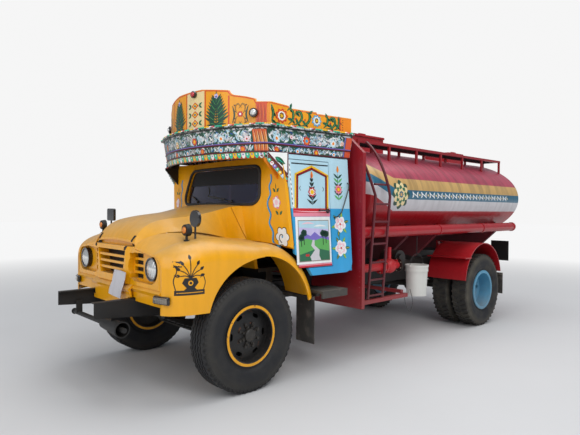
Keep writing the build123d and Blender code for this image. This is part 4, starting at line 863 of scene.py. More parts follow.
@dataclass
class PaintLayer:
    """Flat painted shapes gathered on a surface, later coats a hair above earlier ones."""

    place: Callable[[float, float, float], Vector]
    lift: float = 0.0012
    coat: float = 0.0004
    reach: float = 0.05
    stock: Stock = field(default_factory=Stock)

    def patch(self, outline: Sequence[Point2], tint: Paint, level: int = 0) -> None:
        """Fill an outline.

        Args:
            outline: Its corners in order.
            tint: The colour.
            level: The coat's number.
        """
        corners = [Vector((u, v, 0)) for u, v in outline]
        for tri in tessellate_polygon([corners]):
            self._triangle([outline[i] for i in tri], tint, level)

    def _triangle(self, tri: Sequence[Point2], tint: Paint, level: int) -> None:
        """Lay a triangle, cut up so that it follows the surface."""
        heap = [list(tri)]
        while heap:
            a, b, c = heap.pop()
            sides = [(math.dist(a, b), 0), (math.dist(b, c), 1), (math.dist(c, a), 2)]
            longest, which = max(sides)
            if longest > self.reach:
                p, q, r = ((a, b, c), (b, c, a), (c, a, b))[which]
                m = ((p[0] + q[0]) / 2, (p[1] + q[1]) / 2)
                heap.append([p, m, r])
                heap.append([m, q, r])
                continue
            up = self.lift + self.coat * level
            area = (b[0] - a[0]) * (c[1] - a[1]) - (c[0] - a[0]) * (b[1] - a[1])
            order = (a, b, c) if area > 0 else (a, c, b)
            self.stock.face([self.place(u, v, up) for u, v in order], tint)

    def box(self, u0: float, v0: float, u1: float, v1: float, tint: Paint, level: int = 0) -> None:
        """Fill a rectangle."""
        self.patch([(u0, v0), (u1, v0), (u1, v1), (u0, v1)], tint, level)

    def disc(
        self, u: float, v: float, r: float, tint: Paint, level: int = 0, tall: float = 1.0, n: int = 14
    ) -> None:
        """Fill a circle or an ellipse."""
        turns = [math.tau * k / n for k in range(n)]
        self.patch([(u + r * math.cos(a), v + r * tall * math.sin(a)) for a in turns], tint, level)

    def stroke(
        self, points: Sequence[Point2], width: float, tint: Paint, level: int = 0, taper: bool = False,
        smooth: int = 5
    ) -> None:
        """Draw a brush stroke.

        Args:
            points: The stroke's line.
            width: Its full width.
            tint: The colour.
            level: The coat's number.
            taper: Whether it thins to both ends.
            smooth: Pieces between two points, 0 for straight runs.
        """
        line = smooth_line(points, smooth) if smooth else list(points)
        last = len(line) - 1
        left: list[Point2] = []
        right: list[Point2] = []
        for i, (u, v) in enumerate(line):
            before = line[max(0, i - 1)]
            after = line[min(last, i + 1)]
            du, dv = after[0] - before[0], after[1] - before[1]
            size = math.hypot(du, dv) or 1e-6
            half = width / 2 * (math.sin(math.pi * (i + 0.35) / (last + 0.7)) if taper else 1.0)
            left.append((u - dv / size * half, v + du / size * half))
            right.append((u + dv / size * half, v - du / size * half))
        for i in range(last):
            self._triangle((left[i], right[i], right[i + 1]), tint, level)
            self._triangle((left[i], right[i + 1], left[i + 1]), tint, level)

    def leaf(
        self, u: float, v: float, length: float, width: float, angle: float, tint: Paint, level: int = 0,
        vein: Paint | None = None
    ) -> None:
        """Paint a pointed leaf from its foot.

        Args:
            u: Foot.
            v: Foot.
            length: Length to the tip.
            width: Full width.
            angle: Direction in degrees, 0 along u.
            tint: The colour.
            level: The coat's number.
            vein: Colour of the middle line.
        """
        c, s = math.cos(math.radians(angle)), math.sin(math.radians(angle))
        edge = [(t, math.sin(math.pi * t**0.8) * width / 2) for t in (0, 0.15, 0.35, 0.55, 0.75, 0.9, 1)]
        outline = [(t * length, w) for t, w in edge] + [(t * length, -w) for t, w in edge[-2:0:-1]]
        self.patch([(u + x * c - y * s, v + x * s + y * c) for x, y in outline], tint, level)
        if vein:
            line = [(u + share * length * c, v + share * length * s) for share in (0.1, 0.85)]
            self.stroke(line, width * 0.14, vein, level + 1, taper=True, smooth=3)

    def bloom(
        self, u: float, v: float, r: float, petals: int, tint: Paint, level: int = 0, tall: float = 1.0,
        turn: float = 0.0
    ) -> None:
        """Paint a round-petalled flower's outline.

        Args:
            u: Middle.
            v: Middle.
            r: Reach of the petals.
            petals: How many.
            tint: The colour.
            level: The coat's number.
            tall: Height as a share of the width.
            turn: Turn in radians.
        """
        notch = 0.28
        outline = []
        for k in range(petals * 6):
            a = math.tau * k / (petals * 6)
            far = r * (1 - notch + notch * abs(math.cos(petals * a / 2)))
            outline.append((u + far * math.cos(a + turn), v + far * tall * math.sin(a + turn)))
        self.patch(outline, tint, level)

    def palm(self, u: float, v: float, tall: float, wide: float) -> None:
        """Paint an agave-like palm: lance leaves up a stem, a tuft at its foot, a pale bud on top."""
        tint, light, fronds = Paint.DARK_GREEN, Paint.LEAF, 9
        self.stroke([(u, v), (u, v + tall * 0.80)], 0.012, tint, 1, smooth=2)
        for i in range(fronds):
            t = i / (fronds - 1)
            foot = v + tall * (0.05 + 0.60 * t)
            reach = wide * (0.60 - 0.22 * t)
            for side in (1, -1):
                angle = 90 - side * (64 - 34 * t)
                self.leaf(u, foot, reach, wide * 0.105, angle, tint, 2 + i % 2, light if i % 2 else None)
        for side in (1, -1):
            self.leaf(u, v + 0.004, wide * 0.42, wide * 0.085, 90 - side * 86, tint, 2)
            self.leaf(u, v + 0.008, wide * 0.36, wide * 0.085, 90 - side * 74, tint, 3, light)
        self.leaf(u, v + tall * 0.66, wide * 0.42, wide * 0.10, 90, tint, 3, light)
        self.bloom(u, v + tall * 0.88, wide * 0.085, 5, Paint.LILAC, 5)
        self.disc(u, v + tall * 0.86, wide * 0.035, Paint.DEEP_BLUE, 6, n=8)

    def tendril(self, u: float, v: float, size: float, flip: float) -> None:
        """Paint a heart-shaped scroll of stems with leaves on it."""
        tint = Paint.PRIMER
        shares = ((0, -0.8), (0.55, -0.25), (0.62, 0.35), (0.28, 0.62), (0.05, 0.3), (0.24, 0.08))
        for side in (1, -1):
            line = [(u + side * size * a, v + size * b * flip) for a, b in shares]
            self.stroke(line, size * 0.17, tint, 1, taper=True)
            self.stroke(line, size * 0.035, Paint.BRIGHT_YELLOW, 2, taper=True)
            self.leaf(*line[2], size * 0.34, size * 0.16, 40 if side > 0 else 140, tint, 1)
            self.leaf(*line[1], size * 0.34, size * 0.15, -20 if side > 0 else 200, tint, 1)

    def thicket(
        self, u0: float, u1: float, v0: float, v1: float, count: int, seed: int, tints: Sequence[Paint],
        size: float, level: int = 1
    ) -> None:
        """Scatter brush-stroke leaves over a strip.

        Args:
            u0: Strip's start.
            u1: Strip's end.
            v0: Strip's lower edge.
            v1: Strip's upper edge.
            count: How many leaves.
            seed: Seed of the scatter.
            tints: The pots to dip into.
            size: A leaf's length.
            level: The coat's number.
        """
        dice = random.Random(seed)
        for _ in range(count):
            length = size * dice.uniform(0.6, 1.15)
            angle = dice.choice((35, 60, 120, 145, 215, 240, 300, 325)) + dice.uniform(-14, 14)
            u = dice.uniform(u0 + length * 0.5, u1 - length * 0.5)
            v = dice.uniform(v0 + length * 0.25, v1 - length * 0.25)
            rise = math.sin(math.radians(angle)) * length
            if not v0 < v + rise < v1:
                rise, angle = -rise, -angle
            if v0 < v + rise < v1:
                self.leaf(u, v, length, length * 0.34, angle, dice.choice(list(tints)), level)

    def finish(self, name: str, body: str, gloss: float = 0.3, dust: float = 0.25) -> bpy.types.Object:
        """Make the painted sheet and hang it on its body."""
        finish = Enamel(
            f"sign_paint_{int(gloss * 100)}_{int(dust * 100)}", Brushed(), rough=gloss, chips=0.25, dust=dust,
            dust_top=1.4, dents=0.0, bump=0.1,
        )
        return self.stock.finish(name, finish, body, smooth=False, weld=False)


@dataclass
class Wrap:
    """A wall that rises between two plans, addressed by length round it and height.

    Length is 0 at the middle of the front and grows to the truck's left.
    """

    low: list[Point2]
    high: list[Point2]
    low_z: float
    high_z: float

    def __post_init__(self) -> None:
        """Measure the wall's length along its mean plan."""
        mean = [((a[0] + b[0]) / 2, (a[1] + b[1]) / 2) for a, b in zip(self.low, self.high)]
        self.length = [0.0]
        for a, b in zip(mean, mean[1:]):
            self.length.append(self.length[-1] + math.dist(a, b))

    def place(self, s: float, z: float, h: float) -> Vector:
        """Give the point at a length, height and distance off the wall."""
        side = -1.0 if s < 0 else 1.0
        s = min(abs(s), self.length[-1] - 1e-6)
        i = max(k for k in range(len(self.length) - 1) if self.length[k] <= s)
        t = (s - self.length[i]) / (self.length[i + 1] - self.length[i])
        up = (z - self.low_z) / (self.high_z - self.low_z)
        rows = []
        for plan, level in ((self.low, self.low_z), (self.high, self.high_z)):
            (ax, ay), (bx, by) = plan[i], plan[i + 1]
            rows.append(Vector((ax + (bx - ax) * t, ay + (by - ay) * t, level)))
        along = Vector((
            (self.low[i + 1][0] - self.low[i][0]) + (self.high[i + 1][0] - self.high[i][0]),
            (self.low[i + 1][1] - self.low[i][1]) + (self.high[i + 1][1] - self.high[i][1]), 0
        ))
        out = along.cross(rows[1] - rows[0]).normalized()
        point = rows[0].lerp(rows[1], up) + out * h
        return Vector((point.x, point.y * side, point.z))


def crown_half(
    front: float, shoulder: float, side_front: float, side_rear: float, rear_x: float
) -> list[Point2]:
    """Sample the left half of the crown's plan, from the middle of the front to the rear.

    Args:
        front: The bow's middle, forward of the front axle.
        shoulder: The bow's ends, forward of the front axle.
        side_front: Half width at the side's front end.
        side_rear: Half width at its rear end.
        rear_x: The rear end's place along the truck.

    Returns:
        The plan's points.
    """
    corner = FRONT_X + shoulder
    start = (corner - 0.15, side_front)
    bow = arc_through((corner, -0.86), (FRONT_X + front, 0.0), (corner, 0.86), 48)[24:]
    turn = arc_through((corner, 0.86), (corner - 0.05, side_front - 0.028), start, 8)
    return bow + turn[1:] + run(start, (rear_x, side_rear), 20)[1:]


def board_half() -> list[Point2]:
    """Sample the left half of the crown boards' plan."""
    bow = arc_through((FRONT_X - 0.236, -0.78), (FRONT_X + 0.012, 0.0), (FRONT_X - 0.236, 0.78), 48)[24:]
    post = run((FRONT_X - 0.236, 0.78), (FRONT_X - 0.33, 0.93), 4)
    side = run((FRONT_X - 0.33, 0.93), (CANOPY_REAR, 1.086), 20)
    return bow + post[1:] + side[1:]


@dataclass
class SidePanel:
    """The cab side's leaning plane: u forward and v up, in metres from its origin."""

    side: int = 1

    def place(self, u: float, v: float, h: float) -> Vector:
        """Give the point on the left or right side."""
        run_along = Vector((0.850, -0.050, 0.0))
        inward = run_along.cross(Vector((0.0, -0.090, 1.150))).normalized()
        along = run_along.normalized()
        up = inward.cross(along)
        point = Vector((FRONT_X - 0.875, 1.130, 1.060)) + along * u + up * v - inward * h
        return Vector((point.x, point.y * self.side, point.z))


@dataclass
class CornerPanel:
    """The yellow panel between windscreen and door: u from the screen to the corner, v is height."""

    side: int = 1
    width: float = 0.42

    def place(self, u: float, v: float, h: float) -> Vector:
        """Give the point on the left or right panel."""
        plans = ((1.060, -0.476, 1.106, -0.402, 0.720), (1.690, -0.432, 1.054, -0.378, 0.730),
                 (2.200, -0.399, 1.012, -0.472, 0.645))
        low, high = (plans[0], plans[1]) if v < 1.690 else (plans[1], plans[2])
        t = (v - low[0]) / (high[0] - low[0])
        cx, cy, ex, ey = (a + (b - a) * t for a, b in zip(low[1:], high[1:]))
        share = u / self.width
        point = Vector((FRONT_X + ex + (cx - ex) * share, ey + (cy - ey) * share, v))
        out = Vector((cy - ey, ex - cx, 0)).normalized()
        point += out * h
        return Vector((point.x, point.y * self.side, point.z))


@dataclass
class BracketPlane:
    """The board under a front corner of the canopy: u to the rear, v up from the canopy's lower edge."""

    side: int = 1

    def place(self, u: float, v: float, h: float) -> Vector:
        """Give the point on the left or right board."""
        along = Vector((-0.175, 0.072, 0.0)).normalized()
        out = Vector((0.072, 0.175, 0.0)).normalized()
        point = Vector((FRONT_X - 0.262, 0.958, CANOPY_LOW - 0.002 + v)) + along * u + out * h
        return Vector((point.x, point.y * self.side, point.z))


class GeometryBench(NodeBench):
    """Lays out a geometry node tree that sets a shape on every host point."""

    @classmethod
    def start(cls, name: str, inputs: Sequence[GroupSocket]) -> "GeometryBench":
        """Start a tree that takes and gives geometry, with a finish and the given inputs."""
        geometry = GroupSocket("Geometry", "NodeSocketGeometry")
        finish = GroupSocket("Finish", "NodeSocketMaterial")
        return cls(group_tree(name, "GeometryNodeTree", (geometry, *inputs, finish), (geometry,)))

    def held(self, name: str, kind: str) -> bpy.types.NodeSocket:
        """Read an attribute that the host points hold."""
        return self.put("GeometryNodeInputNamedAttribute", {"Name": name}, data_type=kind).outputs[0]

    def plant(self, given: Any, shape: Any, turn: Any = None, tint: Any = None) -> bpy.types.NodeTree:
        """Set the shape on the points, make it real and dress it.

        Args:
            given: The group's input sockets.
            shape: The shape's socket.
            turn: Each shape's rotation.
            tint: Each shape's colour.

        Returns:
            The finished tree.
        """
        inputs = {"Points": self.put("GeometryNodeMeshToPoints", {0: given["Geometry"]}).outputs[0]}
        inputs["Instance"] = shape
        if turn is not None:
            inputs["Rotation"] = turn
        placed = self.put("GeometryNodeInstanceOnPoints", inputs).outputs[0]
        if tint is not None:
            inputs = {"Geometry": placed, "Name": "paint", "Value": tint}
            kind = {"data_type": "FLOAT_COLOR", "domain": "INSTANCE"}
            placed = self.put("GeometryNodeStoreNamedAttribute", inputs, **kind).outputs[0]
        real = self.put("GeometryNodeRealizeInstances", {0: placed}).outputs[0]
        inputs = {"Geometry": real, "Material": given["Finish"]}
        self.put("NodeGroupOutput", {0: self.put("GeometryNodeSetMaterial", inputs).outputs[0]})
        return self.tree


@dataclass
class Scatter:
    """Points that each hold one value, on which a geometry tree sets a shape."""

    name: str
    spots: Sequence[tuple[Vector, Sequence[float]]]
    held: str
    finish: Finish
    body: str

    def run(self, tree: bpy.types.NodeTree, values: dict[str, Any], smooth: bool = False) -> bpy.types.Object:
        """Run the tree on the points and keep the plain result.

        Args:
            tree: The tree.
            values: Its inputs by name.
            smooth: Whether faces shade smoothly below a sharp angle.

        Returns:
            The plain mesh object.
        """
        host = bpy.data.meshes.new(self.name + "_spots")
        host.from_pydata([tuple(point) for point, _ in self.spots], [], [])
        kind, field_name = ("FLOAT_COLOR", "color") if self.held == "tint" else ("FLOAT_VECTOR", "vector")
        layer = host.attributes.new(self.held, kind, "POINT")
        layer.data.foreach_set(field_name, [part for _, value in self.spots for part in value])
        holder = bpy.data.objects.new(self.name + "_host", host)
        bpy.context.scene.collection.objects.link(holder)
        modifier = holder.modifiers.new("nodes", "NODES")
        modifier.node_group = tree
        values = {"Finish": self.finish.material(), **values}
        for item in tree.interface.items_tree:
            if item.item_type == "SOCKET" and item.in_out == "INPUT" and item.name in values:
                modifier[item.identifier] = values[item.name]
        mesh = baked(holder)
        mesh.name = self.name
        bpy.data.objects.remove(holder)
        return hang(self.name, mesh, self.body, smooth)


def baked(piece: bpy.types.Object) -> bpy.types.Mesh:
    """Give a piece's mesh with its modifiers worked in."""
    graph = bpy.context.evaluated_depsgraph_get()
    graph.update()
    return bpy.data.meshes.new_from_object(piece.evaluated_get(graph))


class StudTree:
    """Geometry nodes that set a domed stud on every host point, aimed along the point's own direction."""

    _tree: bpy.types.NodeTree | None = None

    @classmethod
    def tree(cls) -> bpy.types.NodeTree:
        """Give the tree, built once."""
        if cls._tree is None:
            bench = GeometryBench.start("studs", (
                GroupSocket("Radius", "NodeSocketFloat", 0.01),
                GroupSocket("Height", "NodeSocketFloat", 0.006),
                GroupSocket("Sides", "NodeSocketInt", 10),
            ))
            given = bench.put("NodeGroupInput").outputs
            head = bench.put("GeometryNodeMeshCone", {
                "Vertices": given["Sides"], "Radius Top": bench.math("MULTIPLY", given["Radius"], 0.55),
                "Radius Bottom": given["Radius"], "Depth": given["Height"],
            }).outputs["Mesh"]
            aim = {"Vector": bench.held("aim", "FLOAT_VECTOR")}
            turn = bench.put("FunctionNodeAlignRotationToVector", aim, axis="Z").outputs[0]
            cls._tree = bench.plant(given, head, turn=turn)
        return cls._tree


def studs(
    name: str, spots: Sequence[tuple[Vector, Vector]], radius: float, height: float, finish: Finish,
    body: str, sides: int = 6
) -> bpy.types.Object:
    """Set studs, rivets or bolt heads.

    Args:
        name: The piece's name.
        spots: Place and direction of each.
        radius: A head's radius.
        height: A head's height.
        finish: The heads' finish.
        body: The body that they ride on.
        sides: A head's sides.

    Returns:
        The piece.
    """
    values = {"Radius": radius, "Height": height, "Sides": sides}
    return Scatter(name, spots, "aim", finish, body).run(StudTree.tree(), values)


class BeadTree:
    """Geometry nodes that thread a coloured bead on every host point."""

    @staticmethod
    def tree() -> bpy.types.NodeTree:
        """Build the tree."""
        bench = GeometryBench.start("beads", (GroupSocket("Radius", "NodeSocketFloat", 0.012),))
        given = bench.put("NodeGroupInput").outputs
        inputs = {"Radius": given["Radius"], "Subdivisions": 1}
        bead = bench.put("GeometryNodeMeshIcoSphere", inputs).outputs["Mesh"]
        return bench.plant(given, bead, tint=bench.held("tint", "FLOAT_COLOR"))


class LugTree:
    """Geometry nodes that set a worked lug on every host point, turned as the point says."""

    _tree: bpy.types.NodeTree | None = None

    @classmethod
    def tree(cls) -> bpy.types.NodeTree:
        """Give the tree, built once."""
        if cls._tree is None:
            bench = GeometryBench.start("lugs", (GroupSocket("Pattern", "NodeSocketObject"),))
            given = bench.put("NodeGroupInput").outputs
            lug = bench.put("GeometryNodeObjectInfo", {"Object": given["Pattern"]}).outputs["Geometry"]
            angles = {0: bench.held("turn", "FLOAT_VECTOR")}
            turn = bench.put("FunctionNodeEulerToRotation", angles).outputs[0]
            cls._tree = bench.plant(given, lug, turn=turn)
        return cls._tree


@dataclass
class MeshProbe:
    """Finds the real surface of CAD nodes, so that paint and trim sit on it."""

    nodes: tuple[str, ...]

    def __post_init__(self) -> None:
        """Gather the nodes' triangles into one search tree."""
        points: list[Vector] = []
        faces: list[tuple[int, ...]] = []
        for name in self.nodes:
            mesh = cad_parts[name].data
            first = len(points)
            points.extend(vert.co.copy() for vert in mesh.vertices)
            faces.extend(tuple(first + i for i in poly.vertices) for poly in mesh.polygons)
        self.tree = BVHTree.FromPolygons(points, faces)

    def cast(self, start: Vector, aim: Vector, reach: float = 5.0) -> Vector | None:
        """Give the first point that a ray meets.

        Args:
            start: The ray's start.
            aim: Its direction.
            reach: How far it goes.

        Returns:
            The point, or None.
        """
        return self.tree.ray_cast(start, aim.normalized(), reach)[0]

    def ahead(self, y: float, z: float, otherwise: float, lift: float) -> Vector:
        """Give the point that is met from the front, lifted off forwards.

        Args:
            y: Place across.
            z: Height.
            otherwise: Place along where nothing is met.
            lift: Distance off the surface.

        Returns:
            The point.
        """
        hit = self.cast(Vector((3.0, y, z)), -FORWARD)
        return (hit or Vector((otherwise, y, z))) + FORWARD * lift

    def settle(self, point: Vector, out: Vector, lift: float, depth: float = 0.08) -> Vector:
        """Drop a point onto the surface and lift it off again.

        Args:
            point: A point near the surface.
            out: The direction away from it.
            lift: Distance off the surface.
            depth: How far to look on either side.

        Returns:
            The settled point.
        """
        hit = self.tree.ray_cast(point + out * depth, -out, 2 * depth)[0]
        return (hit if hit is not None else point) + out * lift


@dataclass
class Settled:
    """A surface map whose points are dropped onto CAD nodes."""

    inner: Any
    probe: MeshProbe

    def place(self, u: float, v: float, h: float) -> Vector:
        """Give the settled point."""
        base = self.inner.place(u, v, 0.0)
        out = (self.inner.place(u, v, 1.0) - base).normalized()
        return self.probe.settle(base, out, h)


@dataclass
class Flank:
    """A surface map that throws points from the truck's side onto CAD nodes: u forward, v height."""

    probe: MeshProbe
    side: int
    otherwise: float
    shift: float = 0.0

    def place(self, u: float, v: float, h: float) -> Vector:
        """Give the point on the flank."""
        x = u + self.shift
        hit = self.probe.cast(Vector((x, self.side * 1.6, v)), Vector((0, -self.side, 0)))
        return (hit or Vector((x, self.side * self.otherwise, v))) + Vector((0, self.side * h, 0))


YELLOW = Enamel(
    "yellow_enamel", Faded(Paint.YELLOW, Paint.STRIPE_YELLOW), under=Paint.PRIMER, rough=0.30, chips=0.5,
    dust=0.20, dust_top=0.9, dents=0.6, coat=0.12, bump=0.5
)
BLUES = Enamel(
    "door_blues", Bands(Paint.SKY_BLUE, ((1.682, Paint.PALE_BLUE),)),
    under=Paint.PRIMER, rough=0.3, chips=0.4,
    dust=0.3, dents=0.5, coat=0.2
)
CROWN = Enamel("crown_enamel", Plain(Paint.GROUND), rough=0.34, chips=0.3, dust=0.2, dents=0.2)
VISOR = Enamel("visor_enamel", Plain(Paint.PALE_BLUE), rough=0.34, chips=0.3, dust=0.2, dents=0.2)
EDGING_RED = Enamel("edging_red", Plain(Paint.POST_RED), rough=0.4)
ROD_PAINT = Enamel("rod_paint", Plain(Paint.MAROON), rough=0.35, chips=0.5, dust=0.2)
BEAD_PAINT = Enamel("bead_paint", Brushed(), rough=0.3, chips=0.15, dust=0.15, dents=0.0)
# Partly painted shade: the dark green stands for the canopy's white-green paint on faces in shadow under the
# flange and in the gussets; the white chips show that paint through.
CANOPY_GREEN_AND_SHADE = Enamel(
    "canopy_green_and_painted_shade", Plain(Paint.DARK_GREEN),
    under=Paint.STRIPE_WHITE, rough=0.4, chips=1.9, dust=0.2, dents=0.2
)
# Painted shade on the visor: its far half (y below 0) is soot black for the shadowed underside and bracket,
# its near half orange for the yellow cab paint in shade.
VISOR_PAINTED_SHADE = Enamel(
    "visor_painted_shade", Bands(Paint.SOOT, ((0.0, Paint.ORANGE),), axis=1), under=Paint.SOOT, rough=0.5, chips=0.5,
    dust=0.1
)
ROOF_RED = Enamel("roof_red", Plain(Paint.TANK_RED), rough=0.4, dust=0.9, dust_top=3.0)
RED = Enamel("deep_red", Plain(Paint.TANK_RED), rough=0.3, chips=0.4, dust=0.18, dents=0.4, coat=0.1)
FRAME_RED = Enamel("frame_red", Plain(Paint.BULK_RED), rough=0.34, chips=0.45, dust=0.35, coat=0.1)
LADDER_RED = Enamel("ladder_red", Plain(Paint.MAROON), rough=0.36, chips=0.5, dust=0.3, dents=0.1)
BLACK = Enamel("chassis_black", Plain(Paint.SOOT), rough=0.55, chips=0.6, dust=0.12)
IRON = Enamel("cast_iron", Plain(Paint.OIL), rough=0.6, chips=0.7, dust=0.2, metallic=0.2, bump=0.6)
FRONT_IRON = Enamel("hub_iron", Plain(Paint.OIL), rough=0.45, chips=0.9, dust=0.3, dust_top=0.9)
TANK_STRIPES = Bands(
    Paint.TANK_RED,
    (
        (1.665, Paint.STRIPE_WHITE), (1.808, Paint.STRIPE_BLUE), (1.922, Paint.STRIPE_YELLOW),
        (2.060, Paint.TANK_TOP),
    ),
    kick_x=0.17, kick_slope=0.40, wobble=0.006,
)
TANK_PAINT = Enamel(
    "tank_paint", Streaked(TANK_STRIPES, 0.75), under=Paint.PRIMER, rough=0.34, chips=0.35, dust=0.16,
    dust_top=1.6, dents=0.8, coat=0.1, bump=0.4,
)
HATCH_RED = Enamel("hatch_red", Faded(Paint.TANK_RED, Paint.TANK_TOP, 1.0), rough=0.4, chips=0.45, dust=0.3)
PIPE_RED = Enamel(
    "pipe_red", Bands(Paint.OIL, ((-0.12, Paint.RED),), axis=0),
    under=Paint.OIL, rough=0.4, chips=0.7, dust=0.6
)
FRONT_RIM = Enamel(
    "front_rim", Rings(Paint.SOOT, ((0.2515, Paint.YELLOW), (0.276, Paint.SOOT)), FRONT_X, HUB_Z),
    rough=0.5, chips=1.3, dust=0.10, dust_top=0.9
)
REAR_RIM = Enamel("rear_rim", Plain(Paint.RIM_BLUE), rough=0.4, chips=0.4, dust=0.7, dust_top=1.0)
BARE_STEEL = Enamel("worn_steel", Plain(Paint.DUST), rough=0.45, chips=0.5, dust=0.5, metallic=0.5)
BLACK_GLOSS = Enamel("black_gloss", Plain(Paint.BLACK), rough=0.22, chips=0.1, dust=0.3, dents=0.0, coat=0.5)
WHITE_PLASTIC = Enamel(
    "pail_white", Bands(Paint.PLASTIC, ((0.992, Paint.SOOT),)),
    under=Paint.DUST, rough=0.4, chips=0.4, dust=0.25
)
STEP_GREY = Enamel(
    "step_grey", Plain(Paint.RUBBER), under=Paint.DUST, rough=0.6, chips=0.9, dust=0.8, dust_top=1.6
)
UNDER_RED = Enamel(
    "under_red", Bands(Paint.SOOT, ((1.06, Paint.MAROON),), wobble=0.1), rough=0.5, chips=0.5, dust=0.5,
    dust_top=1.5
)
PLATE_WHITE = Enamel(
    "blank_plate", Plain(Paint.STRIPE_WHITE),
    under=Paint.DEEP_BLUE, rough=0.4, chips=1.0, dust=0.8, dents=0.8,
    bump=0.6
)
DARK_PLASTIC = Moulded("dash_moulding", Paint.SOOT)
FLAP = Moulded("flap_rubber", Paint.FLAP_GREY, stained=0.35, rough=0.8)
SEAT_HIDE = Leather("seat_hide", Paint.BULK_RED)
SCREEN = Glass("cab_glass", Paint.LILAC)
HEAD_LENS = LampGlass("head_lens", Paint.WHITE)
ORANGE_LENS = LampGlass("orange_lens", Paint.ORANGE, metallic=0.2, flute=0.008)
RED_LENS = LampGlass("red_lens", Paint.RED, metallic=0.2, flute=0.006)
GREY_LENS = LampGlass("grey_lens", Paint.DUST, metallic=0.5, flute=0.010)
RUBBER = Rubber()
FRONT_TYRE = Rubber("front_tyre_rubber", (FRONT_X, HUB_Z))
REAR_TYRE = Rubber("rear_tyre_rubber", (REAR_X, HUB_Z), 0.65)


@dataclass
class NodeDresser:
    """Gives every CAD node that shows its finish."""

    wardrobe: dict[Finish, tuple[str, ...]] = field(default_factory=lambda: {
        YELLOW: (
            "bonnet", "scuttle", "cab_front", "fender_left", "fender_right", "front_panel", "front_apron",
        ),
        BLUES: ("door_left", "door_right", "cab_side_left", "cab_side_right", "cab_back"),
        CROWN: ("crown_boards",),
        CANOPY_GREEN_AND_SHADE: ("canopy",),
        VISOR_PAINTED_SHADE: ("visor",),
        ROOF_RED: ("cab_roof",),
        FRAME_RED: ("bulkhead", "walkways", "side_bars"),
        TANK_PAINT: ("tank",),
        HATCH_RED: ("manhole_necks", "manhole_lid_front", "manhole_lid_rear"),
        LADDER_RED: ("ladder",),
        RED: ("hose_tubes", "rear_fenders"),
        PIPE_RED: ("pipework",),
        BLACK: ("chassis_frame", "front_tube", "leaf_springs", "lamp_boards", "cab_floor", "indicators"),
        UNDER_RED: ("tank_saddles",),
        STEP_GREY: ("steps",),
        IRON: ("front_axle", "rear_axle", "engine_block", "driveshaft", "knuckle_left", "knuckle_right"),
        FRONT_RIM: ("wheel_front_left", "wheel_front_right"),
        REAR_RIM: ("wheel_rear_left", "wheel_rear_right", "rims_rear_left", "rims_rear_right"),
        FLAP: ("mud_flaps",),
        SCREEN: ("windscreen",),
        HEAD_LENS: ("headlight_lenses",),
        BLACK_GLOSS: ("headlight_bowls", "mirrors"),
        DARK_PLASTIC: ("dashboard", "steering_wheel"),
        WHITE_PLASTIC: ("pail",),
    })

    def dress(self) -> None:
        """Assign the materials."""
        for finish, names in self.wardrobe.items():
            for name in names:
                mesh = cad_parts[name].data
                mesh.materials.clear()
                mesh.materials.append(finish.material())
                for poly in mesh.polygons:
                    poly.material_index = 0


@dataclass
class Studio:
    """Pale floor, soft lamps and the photograph's camera."""

    spot: tuple[float, float, float] = (5.239, 4.662, 1.672)
    yaw: float = 226.95
    pitch: float = -0.91
    roll: float = 0.42
    lens: float = 31.59
    floor_half: float = 60.0

    def build(self) -> None:
        """Set up the camera, the floor, the lamps and the sky."""
        self._camera()
        self._floor()
        self._lamps()
        self._sky()
        bpy.context.scene.view_settings.view_transform = "Standard"

    def _camera(self) -> None:
        """Place the camera where the photographer stood."""
        yaw, pitch, roll = (math.radians(a) for a in (self.yaw, self.pitch, self.roll))
        ahead = Vector((math.cos(pitch) * math.cos(yaw), math.cos(pitch) * math.sin(yaw), math.sin(pitch)))
        right = ahead.cross(UP).normalized()
        up = right.cross(ahead)
        across = right * math.cos(roll) + up * math.sin(roll)
        above = up * math.cos(roll) - right * math.sin(roll)
        data = bpy.data.cameras.new("camera")
        data.lens = self.lens
        data.sensor_width = 36.0
        data.clip_start = 0.05
        camera = bpy.data.objects.new("camera", data)
        turn = Matrix((across, above, -ahead)).transposed().to_4x4()
        camera.matrix_world = Matrix.Translation(self.spot) @ turn
        bpy.context.scene.collection.objects.link(camera)
        bpy.context.scene.camera = camera

    def _floor(self) -> None:
        """Lay a wide plain floor."""
        mesh = bpy.data.meshes.new("floor")
        size = self.floor_half
        corners = [(-size, -size, 0), (size, -size, 0), (size, size, 0), (-size, size, 0)]
        mesh.from_pydata(corners, [], [(0, 1, 2, 3)])
        mesh.materials.append(FloorPaper("floor_paper").material())
        floor = bpy.data.objects.new("floor", mesh)
        bpy.context.scene.collection.objects.link(floor)

    def _lamps(self) -> None:
        """Hang soft lamps: a wide key over the camera's left, a fill and a rim."""
        lamps = (
            ("key", (4.5, 8.0, 8.0), (0.5, 0.0, 1.0), 7.0, 430.0),
            ("front_fill", (10.0, 1.5, 5.0), (2.0, 0.0, 1.2), 6.0, 190.0),
            ("top", (-1.5, 1.0, 9.0), (-0.5, 0.0, 1.0), 9.0, 560.0),
        )
        for name, place, target, size, power in lamps:
            data = bpy.data.lights.new(name, "AREA")
            data.energy = power
            data.size = size
            lamp = bpy.data.objects.new(name, data)
            lamp.location = place
            aim = Vector(target) - Vector(place)
            lamp.rotation_euler = aim.to_track_quat("-Z", "Y").to_euler()
            bpy.context.scene.collection.objects.link(lamp)

    def _sky(self) -> None:
        """Make a pale sky that the camera sees as white."""
        world = bpy.data.worlds.new("sky")
        world.use_nodes = True
        bench = NodeBench(world.node_tree)
        path = bench.put("ShaderNodeLightPath").outputs["Is Camera Ray"]
        glow = bench.put("ShaderNodeBackground", {"Color": (0.86, 0.91, 1.0, 1), "Strength": 0.36}).outputs[0]
        plain = bench.put("ShaderNodeBackground", {"Color": (1, 1, 1, 1), "Strength": 0.92}).outputs[0]
        mixed = bench.put("ShaderNodeMixShader", {0: path, 1: glow, 2: plain}).outputs[0]
        bench.give(world.node_tree.nodes["World Output"].inputs["Surface"], mixed)
        bpy.context.scene.world = world


